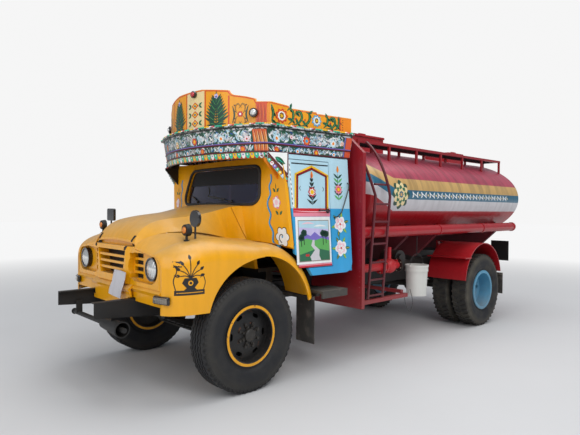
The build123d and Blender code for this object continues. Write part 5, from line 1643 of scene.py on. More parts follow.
@dataclass
class Tyres:
    """Tyres with real tread: zig-zag ribs in front, heavy lugs behind. Each stands for its CAD solid."""

    base_r: float = 0.503
    tread_r: float = 0.5195
    wall: tuple[Point2, ...] = (
        (0.2565, 0.094), (0.300, 0.0955), (0.306, 0.101), (0.330, 0.113), (0.336, 0.1165), (0.342, 0.117),
        (0.372, 0.1265), (0.400, 0.1295), (0.428, 0.1265), (0.434, 0.1275), (0.442, 0.1255), (0.468, 0.117),
        (0.480, 0.1125), (0.484, 0.1135), (0.492, 0.1085), (0.503, 0.101),
    )
    ribs: int = 108
    ticks: int = 72
    lugs: int = 42

    def build(self) -> None:
        """Make all the tyres."""
        for tag, side in SIDES:
            self._front(tag, side)
            self._rear(tag, side)

    def _front(self, tag: str, side: int) -> None:
        """Make a front tyre with zig-zag ribs and ticks on its shoulders."""
        stock = Stock()
        hub = Vector((FRONT_X, side * FRONT_TRACK_Y, HUB_Z))
        self._carcass(stock, hub)
        self._ribs(stock, hub)
        self._shoulder_ticks(stock, hub)
        piece = stock.finish(f"front_tyre_{tag}", FRONT_TYRE, f"front_wheel_{tag}", weld=False)
        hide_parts(f"tyre_front_{tag}")

    def _rear(self, tag: str, side: int) -> None:
        """Make a pair of rear tyres and their lugs."""
        stock = Stock()
        spots: list[tuple[Vector, Vector]] = []
        for y in (REAR_OUTER_Y, REAR_INNER_Y):
            hub = Vector((REAR_X, side * y, HUB_Z))
            self._carcass(stock, hub)
            spots += self._lug_spots(hub)
        piece = stock.finish(f"rear_tyres_{tag}", REAR_TYRE, f"rear_wheel_{tag}", weld=False)
        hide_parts(f"tyre_rear_{tag}")
        lug = Stock()
        lug.slab((-0.0125, -0.046, -0.012), (0.0125, 0.044, self.tread_r - self.base_r - 0.0003), 0.003)
        pattern = bpy.data.objects.new("lug", lug.mesh("lug"))
        bpy.context.scene.collection.objects.link(pattern)
        scatter = Scatter(f"rear_lugs_{tag}", spots, "turn", REAR_TYRE, f"rear_wheel_{tag}")
        scatter.run(LugTree.tree(), {"Pattern": pattern})
        bpy.data.objects.remove(pattern)

    def _carcass(self, stock: Stock, hub: Vector) -> None:
        """Turn the casing with its sidewall rings."""
        profile = [(r, -h) for r, h in self.wall] + [(r, h) for r, h in reversed(self.wall)]
        profile.append(profile[0])
        stock.lathe(profile, hub, Vector((0, 1, 0)), 72)

    def _ribs(self, stock: Stock, hub: Vector) -> None:
        """Lay five zig-zag ribs round the tread."""
        foot = self.base_r - 0.002
        for middle in (-0.080, -0.040, 0.0, 0.040, 0.080):
            half = 0.0125 if abs(middle) < 0.05 else 0.0165
            rows = []
            for k in range(self.ribs + 1):
                across = middle + (0.0062 if k % 2 else -0.0062)
                angle = math.tau * k / self.ribs
                section = (
                    (foot, across - half), (self.tread_r, across - half + 0.001),
                    (self.tread_r, across + half - 0.001), (foot, across + half),
                )
                rows.append([hub + Vector((r * math.cos(angle), w, r * math.sin(angle))) for r, w in section])
            stock.grid(rows)

    def _shoulder_ticks(self, stock: Stock, hub: Vector) -> None:
        """Raise short ticks round both shoulders."""
        for k in range(self.ticks):
            for flank in (1, -1):
                turn = Matrix.Translation(hub) @ Matrix.Rotation(math.tau * k / self.ticks, 4, "Y")
                low, high = sorted((flank * 0.104, flank * 0.1145))
                stock.slab((0.470, low, -0.004), (0.500, high, 0.004), 0.001, turn=turn)

    def _lug_spots(self, hub: Vector) -> list[tuple[Vector, Vector]]:
        """Give each lug's place and turn."""
        spots = []
        for k in range(self.lugs):
            for flank in (1, -1):
                angle = math.tau * (k + (0.5 if flank > 0 else 0.0)) / self.lugs
                along, up = self.base_r * math.cos(angle), self.base_r * math.sin(angle)
                place = hub + Vector((along, flank * 0.062, up))
                slant = Matrix.Rotation(math.radians(16 * flank), 3, "Z")
                turn = Matrix.Rotation(-angle + math.pi / 2, 3, "Y") @ slant
                spots.append((place, Vector(turn.to_euler("XYZ"))))
        return spots


def bolt_circle(
    centre: Sequence[float], radius: float, count: int, across: int, out: Vector
) -> list[tuple[Vector, Vector]]:
    """Give the places and the direction of bolts on an upright circle.

    Args:
        centre: The circle's middle.
        radius: Its radius.
        count: How many bolts.
        across: The level axis that it spreads along, 0 or 1.
        out: The direction that the heads face.

    Returns:
        Place and direction of each.
    """
    spots = []
    for k in range(count):
        angle = math.tau * (k + 0.5) / count
        spot = Vector(centre)
        spot[across] += radius * math.cos(angle)
        spot.z += radius * math.sin(angle)
        spots.append((spot, out))
    return spots


@dataclass
class WheelTrim:
    """Hubs, nuts and caps on the wheels."""

    nuts: int = 8

    def build(self) -> None:
        """Make the small parts of every wheel."""
        for tag, side in SIDES:
            out = Vector((0, side, 0))
            wheel = f"front_wheel_{tag}"
            self._drum(tag, side, out)
            self._spider(tag, side, out)
            centre = (FRONT_X, side * (FRONT_TRACK_Y + 0.074), HUB_Z)
            spots = bolt_circle(centre, 0.088, self.nuts, 0, out)
            studs(f"front_nuts_{tag}", spots, 0.015, 0.024, FRONT_IRON, wheel)
            wheel = f"rear_wheel_{tag}"
            spots = bolt_circle((REAR_X, side * 0.928, HUB_Z), 0.135, self.nuts, 0, out)
            studs(f"rear_nuts_{tag}", spots, 0.016, 0.026, BARE_STEEL, wheel)

    def _drum(self, tag: str, side: int, out: Vector) -> None:
        """Turn the brake drum that shows behind the front wheel's holes."""
        drum = Stock()
        profile = [
            (0.100, 0.0), (0.236, 0.0), (0.238, -0.004), (0.238, -0.030), (0.232, -0.030), (0.230, -0.008),
            (0.100, -0.008), (0.100, 0.0),
        ]
        drum.lathe(profile, Vector((FRONT_X, side * (FRONT_TRACK_Y - 0.030), HUB_Z)), out, 40)
        drum.finish(f"front_drum_{tag}", IRON, f"front_wheel_{tag}")

    def _spider(self, tag: str, side: int, out: Vector) -> None:
        """Set ribs in a star round the front hub's domed cap."""
        spider = Stock()
        face = Vector((FRONT_X, side * (FRONT_TRACK_Y + 0.066), HUB_Z))
        low, high = sorted((-side * 0.006, side * 0.013))
        for k in range(self.nuts):
            turn = Matrix.Translation(face) @ Matrix.Rotation(math.tau * (k + 0.5) / self.nuts, 4, "Y")
            spider.slab((0.050, low, -0.012), (0.122, high, 0.012), 0.003, turn=turn)
        cap = [(0.060, -0.004), (0.058, 0.026), (0.046, 0.036), (0.018, 0.041), (0.0, 0.042)]
        spider.lathe(cap, face, out, 24)
        spider.finish(f"front_spider_{tag}", FRONT_IRON, f"front_wheel_{tag}")


@dataclass
class CrownPaint:
    """The painted crown: boards, bead line, floral bands, rods, scalloped visor and roof lamps."""

    def build(self) -> None:
        """Paint the boards, the band, the visor and the brackets."""
        plan = board_half()
        self.wall = Settled(Wrap(plan, plan, CROWN_Z, 2.9), MeshProbe(("crown_boards",)))
        self._boards()
        self._band()
        self._visor()
        self._brackets()
        self._beads()
        self._lamps()
        self._edging()

    def _edging(self) -> None:
        """Run a red bead along the boards' top edge."""
        probe = MeshProbe(("crown_boards",))
        stock = Stock()
        end = self.wall.inner.length[-1] - 0.012
        path = []
        for k in range(-150, 151):
            hit = probe.cast(self.wall.inner.place(end * k / 150, 3.2, -0.009), -UP)
            if hit is not None and hit.z > 2.60:
                path.append(hit - UP * 0.0125)
        stock.tube(path, 0.0115, 6)
        stock.finish("boards_edging", EDGING_RED, "chassis")

    def _boards(self) -> None:
        """Paint the boards round the roof."""
        layer = PaintLayer(self.wall.place, lift=0.0014)
        for u in (-0.215, 0.415):
            layer.palm(u, 2.508, 0.335, 0.30)
        posts = (
            (-0.395, -0.383, 2.862), (-0.050, -0.036, 2.885), (0.262, 0.276, 2.875), (0.556, 0.572, 2.795),
        )
        for u0, u1, top in posts:
            layer.box(u0, 2.492, u1, top, Paint.POST_RED, 1)
        layer.box(-0.030, 2.500, 0.256, 2.878, Paint.CREAM, 0)
        for v in (2.555, 2.645, 2.735):
            self._lozenge(layer, 0.113, v)
        for s0, s1 in ((0.590, 0.790), (-0.790, -0.430)):
            middle, reach = (s0 + s1) / 2, abs(s1 - s0) / 2
            for k, v in enumerate((2.545, 2.655)):
                layer.tendril(middle, v, 0.082, 1 if k else -1)
            layer.bloom(middle, 2.605, 0.030, 6, Paint.RED, 3)
            layer.disc(middle, 2.605, 0.012, Paint.WHITE, 4, n=8)
            for flank in (1, -1):
                far, near = middle + flank * reach * 0.85, middle + flank * reach * 0.62
                layer.stroke([(far, 2.52), (near, 2.60), (far, 2.69)], 0.018, Paint.DARK_GREEN, 1, taper=True)
        for side in (1, -1):
            layer.box(side * 0.849, 2.486, side * 0.968, 2.715, Paint.POST_RED, 0)
            for k in range(10):
                u = side * (0.858 + 0.011 * k)
                tint = (Paint.ORANGE, Paint.PRIMER, Paint.BULK_RED)[k % 3]
                layer.stroke([(u, 2.495), (u + 0.004, 2.60), (u - 0.003, 2.70)], 0.004, tint, 1, taper=True)
            layer.box(side * 0.975, 2.486, side * 0.990, 2.715, Paint.ORANGE, 1)
            layer.box(side * 0.990, 2.486, side * 2.015, 2.500, Paint.ORANGE, 1)
            layer.box(side * 1.862, 2.500, side * 2.015, 2.646, Paint.ORANGE, 1)
            layer.box(side * 1.862, 2.500, side * 1.874, 2.646, Paint.POST_RED, 2)
            for k in range(5):
                layer.disc(side * 1.905, 2.520 + 0.026 * k, 0.006, Paint.PRIMER, 2, n=8)
            self._scrolls(layer, side)
            self._rosette(layer, side * 1.127, 2.588, 0.072, Paint.RED, Paint.ORANGE)
            self._rosette(layer, side * 1.556, 2.582, 0.062, Paint.SKY_BLUE, Paint.PALE_BLUE)
        layer.finish("boards_paint", "chassis")

    @staticmethod
    def _lozenge(layer: PaintLayer, u: float, v: float) -> None:
        """Paint a lozenge with a dot, standing for a plain panel's filling."""
        sizes = ((0.040, Paint.RED), (0.028, Paint.BRIGHT_YELLOW), (0.013, Paint.DEEP_BLUE))
        for level, (size, tint) in enumerate(sizes, 3):
            layer.patch([(u, v + size), (u + size * 1.4, v), (u, v - size), (u - size * 1.4, v)], tint, level)
        for flank in (1, -1):
            layer.leaf(u + flank * 0.062, v, 0.055, 0.022, 90 - flank * 60, Paint.GREEN, 3)
            layer.leaf(u + flank * 0.062, v, 0.055, 0.022, 270 + flank * 60, Paint.GREEN, 3)

    @staticmethod
    def _scrolls(layer: PaintLayer, side: int) -> None:
        """Paint bold acanthus scrolls along a side board."""
        lines = (
            ((1.005, 2.69), (1.030, 2.61), (1.012, 2.52)), ((1.015, 2.52), (1.060, 2.505), (1.110, 2.515)),
            ((1.205, 2.51), (1.255, 2.56), (1.265, 2.63), (1.225, 2.668), (1.190, 2.645)),
            ((1.245, 2.51), (1.320, 2.53), (1.370, 2.59), (1.350, 2.648), (1.300, 2.640), (1.300, 2.600)),
            ((1.360, 2.512), (1.420, 2.53), (1.465, 2.58), (1.460, 2.640), (1.420, 2.655)),
            ((1.645, 2.515), (1.690, 2.56), (1.700, 2.62), (1.660, 2.645)),
            ((1.670, 2.512), (1.750, 2.525), (1.800, 2.575), (1.785, 2.630), (1.740, 2.625), (1.735, 2.590)),
            ((1.790, 2.512), (1.840, 2.540), (1.850, 2.60), (1.835, 2.635)),
        )
        for i, line in enumerate(lines):
            path = [(side * u, v) for u, v in line]
            layer.stroke(path, 0.030, Paint.DARK_GREEN, 1, taper=True)
            layer.stroke(path, 0.006, Paint.LEAF, 2, taper=True)
            for k in (1, len(path) - 2):
                u, v = path[k]
                angle = 90 + side * (70 - 50 * k) + 30 * (i % 3)
                layer.leaf(u, v, 0.062, 0.030, angle, Paint.GREEN, 1, Paint.DARK_GREEN)
                layer.leaf(u, v, 0.050, 0.024, 270 + side * (40 + 20 * (i % 2)), Paint.DARK_GREEN, 1)
        for u in (1.29, 1.41, 1.74):
            layer.disc(side * u, 2.574, 0.010, Paint.RED, 3, n=8)

    @staticmethod
    def _rosette(layer: PaintLayer, s: float, z: float, r: float, rim: Paint, inner: Paint) -> None:
        """Paint a ringed rosette in petals."""
        for share, tint, level in ((1.0, rim, 4), (0.80, inner, 5)):
            layer.bloom(s, z, r * share, 9, tint, level)
        layer.disc(s, z, r * 0.62, Paint.WHITE, 6)
        layer.disc(s, z, r * 0.38, Paint.PRIMER, 7, tall=1.2)
        for k in range(6):
            layer.leaf(s, z, r * 0.34, r * 0.13, k * 60 + 30, Paint.BRIGHT_YELLOW, 8)

    def _band(self) -> None:
        """Paint the floral bands round the canopy."""
        low = crown_half(-0.005, -0.222, 0.952, 1.062, CANOPY_REAR)
        high = crown_half(0.038, -0.178, 0.962, 1.108, CANOPY_REAR)
        wall = Wrap(low, high, CANOPY_LOW, CROWN_Z - 0.012)
        settled = Settled(wall, MeshProbe(("canopy",)))
        layer = PaintLayer(settled.place, lift=0.0014)
        end = wall.length[-1] - 0.004
        flowers = (
            (-0.241, 2.358, 0.038, Paint.BRIGHT_YELLOW, Paint.ORANGE),
            (0.120, 2.364, 0.040, Paint.RED, Paint.BRIGHT_YELLOW),
            (0.504, 2.366, 0.044, Paint.PALE_BLUE, Paint.ORANGE),
            (0.800, 2.352, 0.030, Paint.ROSE, Paint.RED),
            (-0.600, 2.364, 0.042, Paint.RED, Paint.BRIGHT_YELLOW),
        )
        sides = (
            (1.112, 2.360, 0.046, Paint.PALE_BLUE, Paint.ORANGE),
            (1.477, 2.362, 0.048, Paint.RED, Paint.SKY_BLUE),
            (1.826, 2.364, 0.046, Paint.PALE_BLUE, Paint.ORANGE),
            (1.290, 2.385, 0.022, Paint.ROSE, Paint.RED),
            (1.650, 2.345, 0.022, Paint.ROSE, Paint.RED), (1.950, 2.370, 0.022, Paint.ORANGE, Paint.RED),
            (1.099, 2.252, 0.033, Paint.RED, Paint.BRIGHT_YELLOW),
            (1.360, 2.252, 0.033, Paint.SKY_BLUE, Paint.ORANGE),
            (1.604, 2.254, 0.033, Paint.RED, Paint.BRIGHT_YELLOW),
            (1.847, 2.252, 0.033, Paint.SKY_BLUE, Paint.ORANGE),
        )
        lows = (-0.80, -0.54, -0.291, -0.031, 0.226, 0.485, 0.742)
        layer.box(-end, 2.224, end, 2.440, Paint.DARK_GREEN, 0)
        # Painted shadow: a soot strip along the band's top, under the bead flange.
        layer.box(-end, 2.456, end, 2.468, Paint.SOOT, 1)
        pales = (Paint.WHITE, Paint.PALE_BLUE, Paint.STRIPE_WHITE)
        darks = (Paint.DARK_GREEN, Paint.GREEN, Paint.DEEP_BLUE, Paint.GREEN)
        fills = []
        for u0, u1, share, seed in ((-0.86, 0.86, 1.0, 11), (1.01, 1.98, 0.57, 13), (-1.98, -1.01, 0.57, 23)):
            fills += [
                (u0, u1, 2.314, 2.452, int(400 * share), 0.060, seed, pales),
                (u0, u1, 2.314, 2.452, int(250 * share), 0.044, seed + 20, darks),
                (u0, u1, 2.228, 2.300, int(230 * share), 0.046, seed + 1, pales),
                (u0, u1, 2.228, 2.300, int(140 * share), 0.034, seed + 21, darks),
            ]
        for u0, u1, v0, v1, count, size, seed, tints in fills:
            layer.thicket(u0, u1, v0, v1, count, seed, tints, size, 2)
        for side in (1, -1):
            for u, v, r, petal, eye in sides:
                self._flower(layer, side * u, v, r, petal, eye)
            layer.box(side * 0.866, 2.224, side * 1.007, 2.440, Paint.POST_RED, 2)
            for k in range(14):
                u = side * (0.874 + 0.0095 * k)
                tint = (Paint.ORANGE, Paint.CREAM, Paint.PRIMER, Paint.STRIPE_YELLOW)[k % 4]
                layer.stroke([(u, 2.228), (u + 0.005, 2.33), (u - 0.004, 2.436)], 0.007, tint, 3, taper=True)
            layer.box(side * 2.000, 2.226, side * end, 2.440, Paint.POST_RED, 3)
            layer.box(side * 1.978, 2.226, side * 1.992, 2.440, Paint.PURPLE, 4)
        for u, v, r, petal, eye in flowers:
            self._flower(layer, u, v, r, petal, eye)
        for k, u in enumerate(lows):
            self._flower(layer, u, 2.256, 0.032, Paint.SKY_BLUE if k % 2 else Paint.RED, Paint.ORANGE)
        layer.box(-end, 2.296, end, 2.310, Paint.MAROON, 5)
        layer.box(-end, 2.308, end, 2.318, Paint.PURPLE, 6)
        layer.box(-end, 2.223, end, 2.229, Paint.MAROON, 5)
        layer.finish("band_paint", "chassis")
        rods = Stock()
        for z, radius in ((2.303, 0.008), (2.229, 0.007)):
            rods.tube([settled.place(-end + 2 * end * k / 110, z, 0.004) for k in range(111)], radius, 6)
        rods.finish("canopy_rods", ROD_PAINT, "chassis")

    @staticmethod
    def _flower(layer: PaintLayer, u: float, v: float, r: float, petal: Paint, eye: Paint) -> None:
        """Paint a flower on a dark ring so that it reads from afar."""
        layer.bloom(u, v, r, 8, petal, 5)
        layer.bloom(u, v, r * 0.68, 8, Paint.WHITE if petal is not Paint.RED else Paint.ORANGE, 6)
        layer.disc(u, v, r * 0.34, eye, 7, n=10)

    def _visor(self) -> None:
        """Paint the visor's skirt as a row of hanging scallops."""
        low = crown_half(-0.020, -0.237, 0.942, 1.040, FRONT_X - 0.430)
        high = crown_half(-0.005, -0.222, 0.952, 0.970, FRONT_X - 0.430)
        wall = Wrap(low, high, 2.165, CANOPY_LOW)
        layer = PaintLayer(Settled(wall, MeshProbe(("visor",))).place, lift=0.0014)
        pitch = 0.0475
        half = pitch * 0.47
        tints = (Paint.TURQUOISE, Paint.BRIGHT_YELLOW, Paint.TURQUOISE, Paint.WHITE)
        layer.box(-1.0, 2.1665, 1.0, 2.221, Paint.PRIMER, 0)
        for k in range(-21, 21):
            u = (k + 0.5) * pitch
            turns = [math.pi + math.pi * a / 6 for a in range(1, 6)]
            scallop = [(u + half * math.cos(a), 2.192 + 0.024 * math.sin(a)) for a in turns]
            outline = [(u - half, 2.220), (u - half, 2.192), *scallop, (u + half, 2.192), (u + half, 2.220)]
            layer.patch(outline, tints[k % 4], 1)
            layer.disc(u, 2.205, 0.008, Paint.WHITE if k % 2 == 0 else Paint.PURPLE, 2, n=8)
            layer.disc(u + pitch / 2, 2.177, 0.0085, Paint.RED, 2, n=8)
        layer.finish("visor_paint", "chassis")

    def _brackets(self) -> None:
        """Close the canopy's front corners with painted bracket boards, scalloped along their slope."""
        for tag, side in SIDES:
            place = BracketPlane(side).place
            layer = PaintLayer(place, lift=0.0012)
            board = Stock()
            outline = [(0.0, 0.0), (0.215, 0.0), (0.215, -0.290), (0.196, -0.290), (0.0, -0.078)]
            for h in (0.0, -0.010):
                board.face([place(u, v, h) for u, v in outline])
            for a, b in zip(outline, outline[1:] + outline[:1]):
                board.face([place(*a, 0.0), place(*b, 0.0), place(*b, -0.010), place(*a, -0.010)])
            upper = [(0.002, -0.002), (0.213, -0.002), (0.213, -0.225), (0.002, -0.020)]
            slope = [(0.002, -0.020), (0.213, -0.225), (0.213, -0.288), (0.197, -0.288), (0.002, -0.076)]
            layer.patch(upper, Paint.WHITE, 0)
            layer.patch(slope, Paint.PRIMER, 0)
            layer.leaf(0.075, -0.045, 0.125, 0.052, -32, Paint.GREEN, 1, Paint.TURQUOISE)
            layer.leaf(0.120, -0.060, 0.080, 0.040, -60, Paint.DARK_GREEN, 1)
            layer.stroke([(0.002, -0.008), (0.208, -0.212)], 0.016, Paint.MAROON, 2, smooth=0)
            layer.box(0.201, -0.212, 0.213, -0.002, Paint.MAROON, 2)
            layer.box(0.190, -0.190, 0.201, -0.002, Paint.WHITE, 1)
            tints = (
                Paint.TURQUOISE, Paint.WHITE, Paint.PURPLE, Paint.TURQUOISE, Paint.BRIGHT_YELLOW,
                Paint.PALE_BLUE,
            )
            for k in range(7):
                share = (k + 0.5) / 7
                u, v = 0.004 + 0.192 * share, -0.062 - 0.206 * share
                layer.disc(u, v, 0.0195, tints[k % 6], 1, n=10)
                layer.disc(u, v + 0.004, 0.007, Paint.WHITE if k % 6 != 1 else Paint.RED, 2, n=8)
                layer.disc(u + 0.014, v - 0.014, 0.006, Paint.RED, 2, n=8)
            board.finish(f"bracket_{tag}", VISOR, "chassis", smooth=False)
            layer.finish(f"bracket_paint_{tag}", "chassis")

    def _beads(self) -> None:
        """Thread beads along the flange."""
        plan = crown_half(0.064, -0.152, 0.988, 1.134, CANOPY_REAR)
        wall = Wrap(plan, plan, CROWN_Z - 0.012, CROWN_Z)
        run_of = (Paint.TURQUOISE,) * 4 + (Paint.BRIGHT_YELLOW,) * 3 + (Paint.WHITE, Paint.PINK, Paint.RED)
        spots = []
        pitch = 0.0235
        count = int((wall.length[-1] - 0.01) / pitch)
        for k in range(-count, count + 1):
            point = wall.place(k * pitch + 1e-5, CROWN_Z + 0.004, -0.010)
            spots.append((point, run_of[k % len(run_of)].light))
        scatter = Scatter("crown_beads", spots, "tint", BEAD_PAINT, "chassis")
        scatter.run(BeadTree.tree(), {"Radius": 0.0125}, smooth=True)

    def _lamps(self) -> None:
        """Set a pale lamp at each corner of the crown and a red one over the middle."""
        dark, pale, red = Stock(), Stock(), Stock()
        cup = [(0.0, 0.0), (0.042, 0.0), (0.046, 0.024), (0.042, 0.034), (0.033, 0.032)]
        glass = [(0.034, 0.030), (0.032, 0.038), (0.024, 0.046), (0.012, 0.050), (0.0, 0.051)]
        plan = self.wall.inner
        lamps = ((0.832, 2.610, pale, 1.0), (-0.832, 2.610, pale, 1.0), (0.109, 2.852, red, 0.8))
        for s, z, lens, size in lamps:
            foot = self.wall.place(s, z, 0.0)
            out = (plan.place(s, z, 1.0) - plan.place(s, z, 0.0)).normalized()
            dark.lathe([(r * size, h) for r, h in cup], foot, out, 24)
            lens.lathe([(r * size, h) for r, h in glass], foot, out, 24)
        dark.finish("crown_lamp_cups", BLACK_GLOSS, "chassis")
        pale.finish("crown_lamps_pale", HEAD_LENS, "chassis")
        red.finish("crown_lamp_red", RED_LENS, "chassis")


@dataclass
class CabPaint:
    """Sign painting on the doors, the cab sides and the corner panels."""

    def build(self) -> None:
        """Paint both sides."""
        for tag, side in SIDES:
            self._door(tag, side)
            self._rear_panel(tag, side)
            self._corner(tag, side)

    def _door(self, tag: str, side: int) -> None:
        """Paint a door: arch and sprig over a framed landscape."""
        layer = PaintLayer(Settled(SidePanel(side), MeshProbe((f"door_{tag}",))).place)
        # The thin soot line inside the red one is painted shade along the edge of the recessed arched panel.
        arches = (
            (0.000, 0.020, Paint.BRIGHT_YELLOW), (0.022, 0.022, Paint.BULK_RED), (0.034, 0.005, Paint.SOOT),
        )
        for level, (inset, width, tint) in enumerate(arches, 2):
            self._outline(layer, self._arch(inset), width, tint, level)
        self._sprig(layer, 0.115, 0.66)
        for u, turn in ((0.262, 1), (-0.030, -1)):
            hook = [(u, 0.850), (u + turn * 0.016, 0.825), (u, 0.798)]
            layer.stroke(hook, 0.007, Paint.BLACK, 2, taper=True)
        layer.box(-0.121, 0.582, 0.372, 0.626, Paint.RED, 1)
        layer.box(-0.121, 0.544, 0.372, 0.582, Paint.PINK, 1)
        layer.stroke([(-0.119, 0.598), (0.1, 0.592), (0.37, 0.600)], 0.008, Paint.ROSE, 2, taper=True)
        layer.box(-0.117, 0.072, 0.352, 0.541, Paint.WHITE, 1)
        layer.box(-0.096, 0.095, 0.322, 0.508, Paint.DUST, 2)
        self._landscape(layer, -0.088, 0.104, 0.314, 0.500)
        layer.box(-0.119, 0.0405, 0.330, 0.056, Paint.RED, 1)
        layer.box(-0.119, 0.056, 0.330, 0.071, Paint.PINK, 1)
        # Painted shade: a black line under the door's top rail stands for the shadowed gap.
        layer.box(-0.122, 1.064, 0.372, 1.076, Paint.BLACK, 1)
        strip = [(0.354, 0.640), (0.374, 0.640), (0.398, 0.87), (0.412, 1.095), (0.392, 1.095), (0.378, 0.87)]
        layer.patch(strip, Paint.WHITE, 1)
        for k in range(9):
            v = 0.66 + 0.047 * k
            u = 0.372 + 0.06 * (v - 0.64)
            layer.stroke([(u, v), (u + 0.004, v + 0.026)], 0.010, Paint.SOOT, 2, taper=True, smooth=2)
        layer.finish(f"door_paint_{tag}", f"door_{tag}")

    @staticmethod
    def _arch(inset: float) -> list[Point2]:
        """Give the pointed arch's line, front foot first."""
        return [
            (0.345 - inset, 0.628), (0.326 - inset, 0.962 - inset * 0.4), (0.107, 1.052 - inset * 1.05),
            (-0.113 + inset, 0.966 - inset * 0.4), (-0.094 + inset, 0.628),
        ]

    @staticmethod
    def _outline(layer: PaintLayer, line: Sequence[Point2], width: float, tint: Paint, level: int) -> None:
        """Draw a line of even width."""
        for a, b in zip(line, line[1:]):
            layer.stroke([a, b], width, tint, level, smooth=0)
            layer.disc(b[0], b[1], width / 2, tint, level, n=8)

    def _sprig(self, layer: PaintLayer, u: float, v: float) -> None:
        """Paint a plant with a bud under the arch."""
        layer.stroke([(u, v), (u + 0.004, v + 0.12), (u, v + 0.28)], 0.008, Paint.SOOT, 2, taper=True)
        for i in range(6):
            height = v + 0.005 + 0.046 * i
            for side in (1, -1):
                layer.leaf(u, height, 0.095 - 0.011 * i, 0.015, 90 - side * (52 - 4 * i), Paint.SOOT, 3)
                angle = 90 - side * (64 - 4 * i)
                layer.leaf(u, height + 0.020, 0.070 - 0.009 * i, 0.011, angle, Paint.DARK_GREEN, 3)
        layer.bloom(u, v + 0.130, 0.052, 7, Paint.RED, 5)
        layer.bloom(u, v + 0.130, 0.036, 7, Paint.WHITE, 6)
        layer.disc(u, v + 0.130, 0.024, Paint.BRIGHT_YELLOW, 7)
        layer.leaf(u - 0.004, v + 0.27, 0.075, 0.034, 90, Paint.ORANGE, 5)
        layer.leaf(u + 0.006, v + 0.27, 0.05, 0.014, 96, Paint.RED, 6)

    def _landscape(self, layer: PaintLayer, u0: float, v0: float, u1: float, v1: float) -> None:
        """Paint a generic river landscape in the frame."""
        wide, tall = u1 - u0, v1 - v0

        def at(a: float, b: float) -> Point2:
            """Turn shares of the picture into surface places."""
            return u0 + wide * a, v0 + tall * b

        layer.box(u0, v0, u1, v1, Paint.LILAC, 3)
        layer.patch([at(0, 0.78), at(1, 0.84), at(1, 1), at(0, 1)], Paint.PALE_BLUE, 4)
        layer.stroke([at(0.08, 0.86), at(0.3, 0.88), at(0.5, 0.86)], 0.018, Paint.WHITE, 5, taper=True)
        layer.stroke([at(0.5, 0.93), at(0.7, 0.95), at(0.9, 0.92)], 0.016, Paint.ROSE, 5, taper=True)
        hills = (
            (0, 0.56), (0.15, 0.66), (0.3, 0.60), (0.48, 0.72), (0.62, 0.62), (0.8, 0.69), (1, 0.58),
            (1, 0.45), (0, 0.45),
        )
        field_line = ((0, 0.50), (0.25, 0.56), (0.5, 0.50), (0.75, 0.56), (1, 0.49), (1, 0), (0, 0))
        bank = ((0, 0.22), (0.4, 0.30), (1, 0.16), (1, 0), (0, 0))
        path = (
            (0.50, 0.52), (0.56, 0.52), (0.62, 0.38), (0.50, 0.26), (0.66, 0.10), (0.62, 0), (0.30, 0),
            (0.36, 0.12), (0.34, 0.26), (0.50, 0.38),
        )
        shapes = (hills, field_line, bank, path)
        tints = (Paint.PURPLE, Paint.LEAF, Paint.GREEN, Paint.STRIPE_WHITE)
        for level, (shape, tint) in enumerate(zip(shapes, tints), 5):
            layer.patch([at(a, b) for a, b in shape], tint, level)
        for a, b, h in ((0.10, 0.42, 0.24), (0.20, 0.38, 0.30), (0.84, 0.40, 0.30), (0.93, 0.36, 0.22)):
            u, v = at(a, b)
            layer.stroke([(u, v), (u + 0.003, v + tall * h)], 0.008, Paint.BLACK, 9, smooth=0)
            for k in range(5):
                across, up = 0.020 * math.cos(k * 1.26), 0.016 * math.sin(k * 1.26)
                layer.disc(u + across, v + tall * h + up, 0.021, Paint.DARK_GREEN, 10, n=9)
        for a in (0.72, 0.78):
            u, v = at(a, 0.14)
            layer.bloom(u, v, 0.014, 5, Paint.RED, 9)

    def _rear_panel(self, tag: str, side: int) -> None:
        """Paint the panel behind the door with a flowering stem."""
        layer = PaintLayer(Settled(SidePanel(side), MeshProbe((f"cab_side_{tag}",))).place)
        u = -0.262
        layer.stroke([(u, 0.70), (u + 0.006, 0.85), (u, 1.00)], 0.010, Paint.GREEN, 1, taper=True)
        for k in range(6):
            tint = Paint.DARK_GREEN if k % 2 else Paint.LEAF
            for flank in (1, -1):
                layer.leaf(u, 0.72 + 0.045 * k, 0.080, 0.022, 90 - flank * 52, tint, 2)
        layer.bloom(u, 0.828, 0.052, 8, Paint.PINK, 4)
        layer.bloom(u, 0.828, 0.030, 8, Paint.RED, 5)
        layer.disc(u, 0.828, 0.019, Paint.BRIGHT_YELLOW, 6)
        layer.leaf(u, 1.005, 0.075, 0.034, 90, Paint.ORANGE, 4)
        for v, seed in ((0.462, 3), (0.211, 4)):
            layer.bloom(u, v, 0.088, 5, Paint.WHITE, 4, turn=0.3 * seed)
            layer.bloom(u + 0.004, v, 0.066, 5, Paint.ROSE, 5, turn=0.3 * seed)
            layer.bloom(u, v - 0.004, 0.044, 5, Paint.WHITE, 6, turn=0.9 * seed)
            for k in range(5):
                angle = 0.3 * seed + k * 1.257
                tip = (u + 0.05 * math.cos(angle), v + 0.05 * math.sin(angle))
                layer.stroke([(u, v), tip], 0.005, Paint.PINK, 7, taper=True)
            layer.disc(u, v, 0.012, Paint.RED, 8)
            for k in range(6):
                angle = k * 60 + 15 * seed
                bend = math.radians(angle)
                foot = (u + 0.06 * math.cos(bend), v + 0.06 * math.sin(bend))
                tint = Paint.LEAF if k % 2 else Paint.GREEN
                layer.leaf(*foot, 0.075, 0.034, angle, tint, 2, Paint.BRIGHT_YELLOW)
        layer.stroke([(u, 0.10), (u + 0.02, 0.33), (u, 0.56)], 0.010, Paint.GREEN, 1, taper=True)
        layer.finish(f"side_paint_{tag}", "chassis")

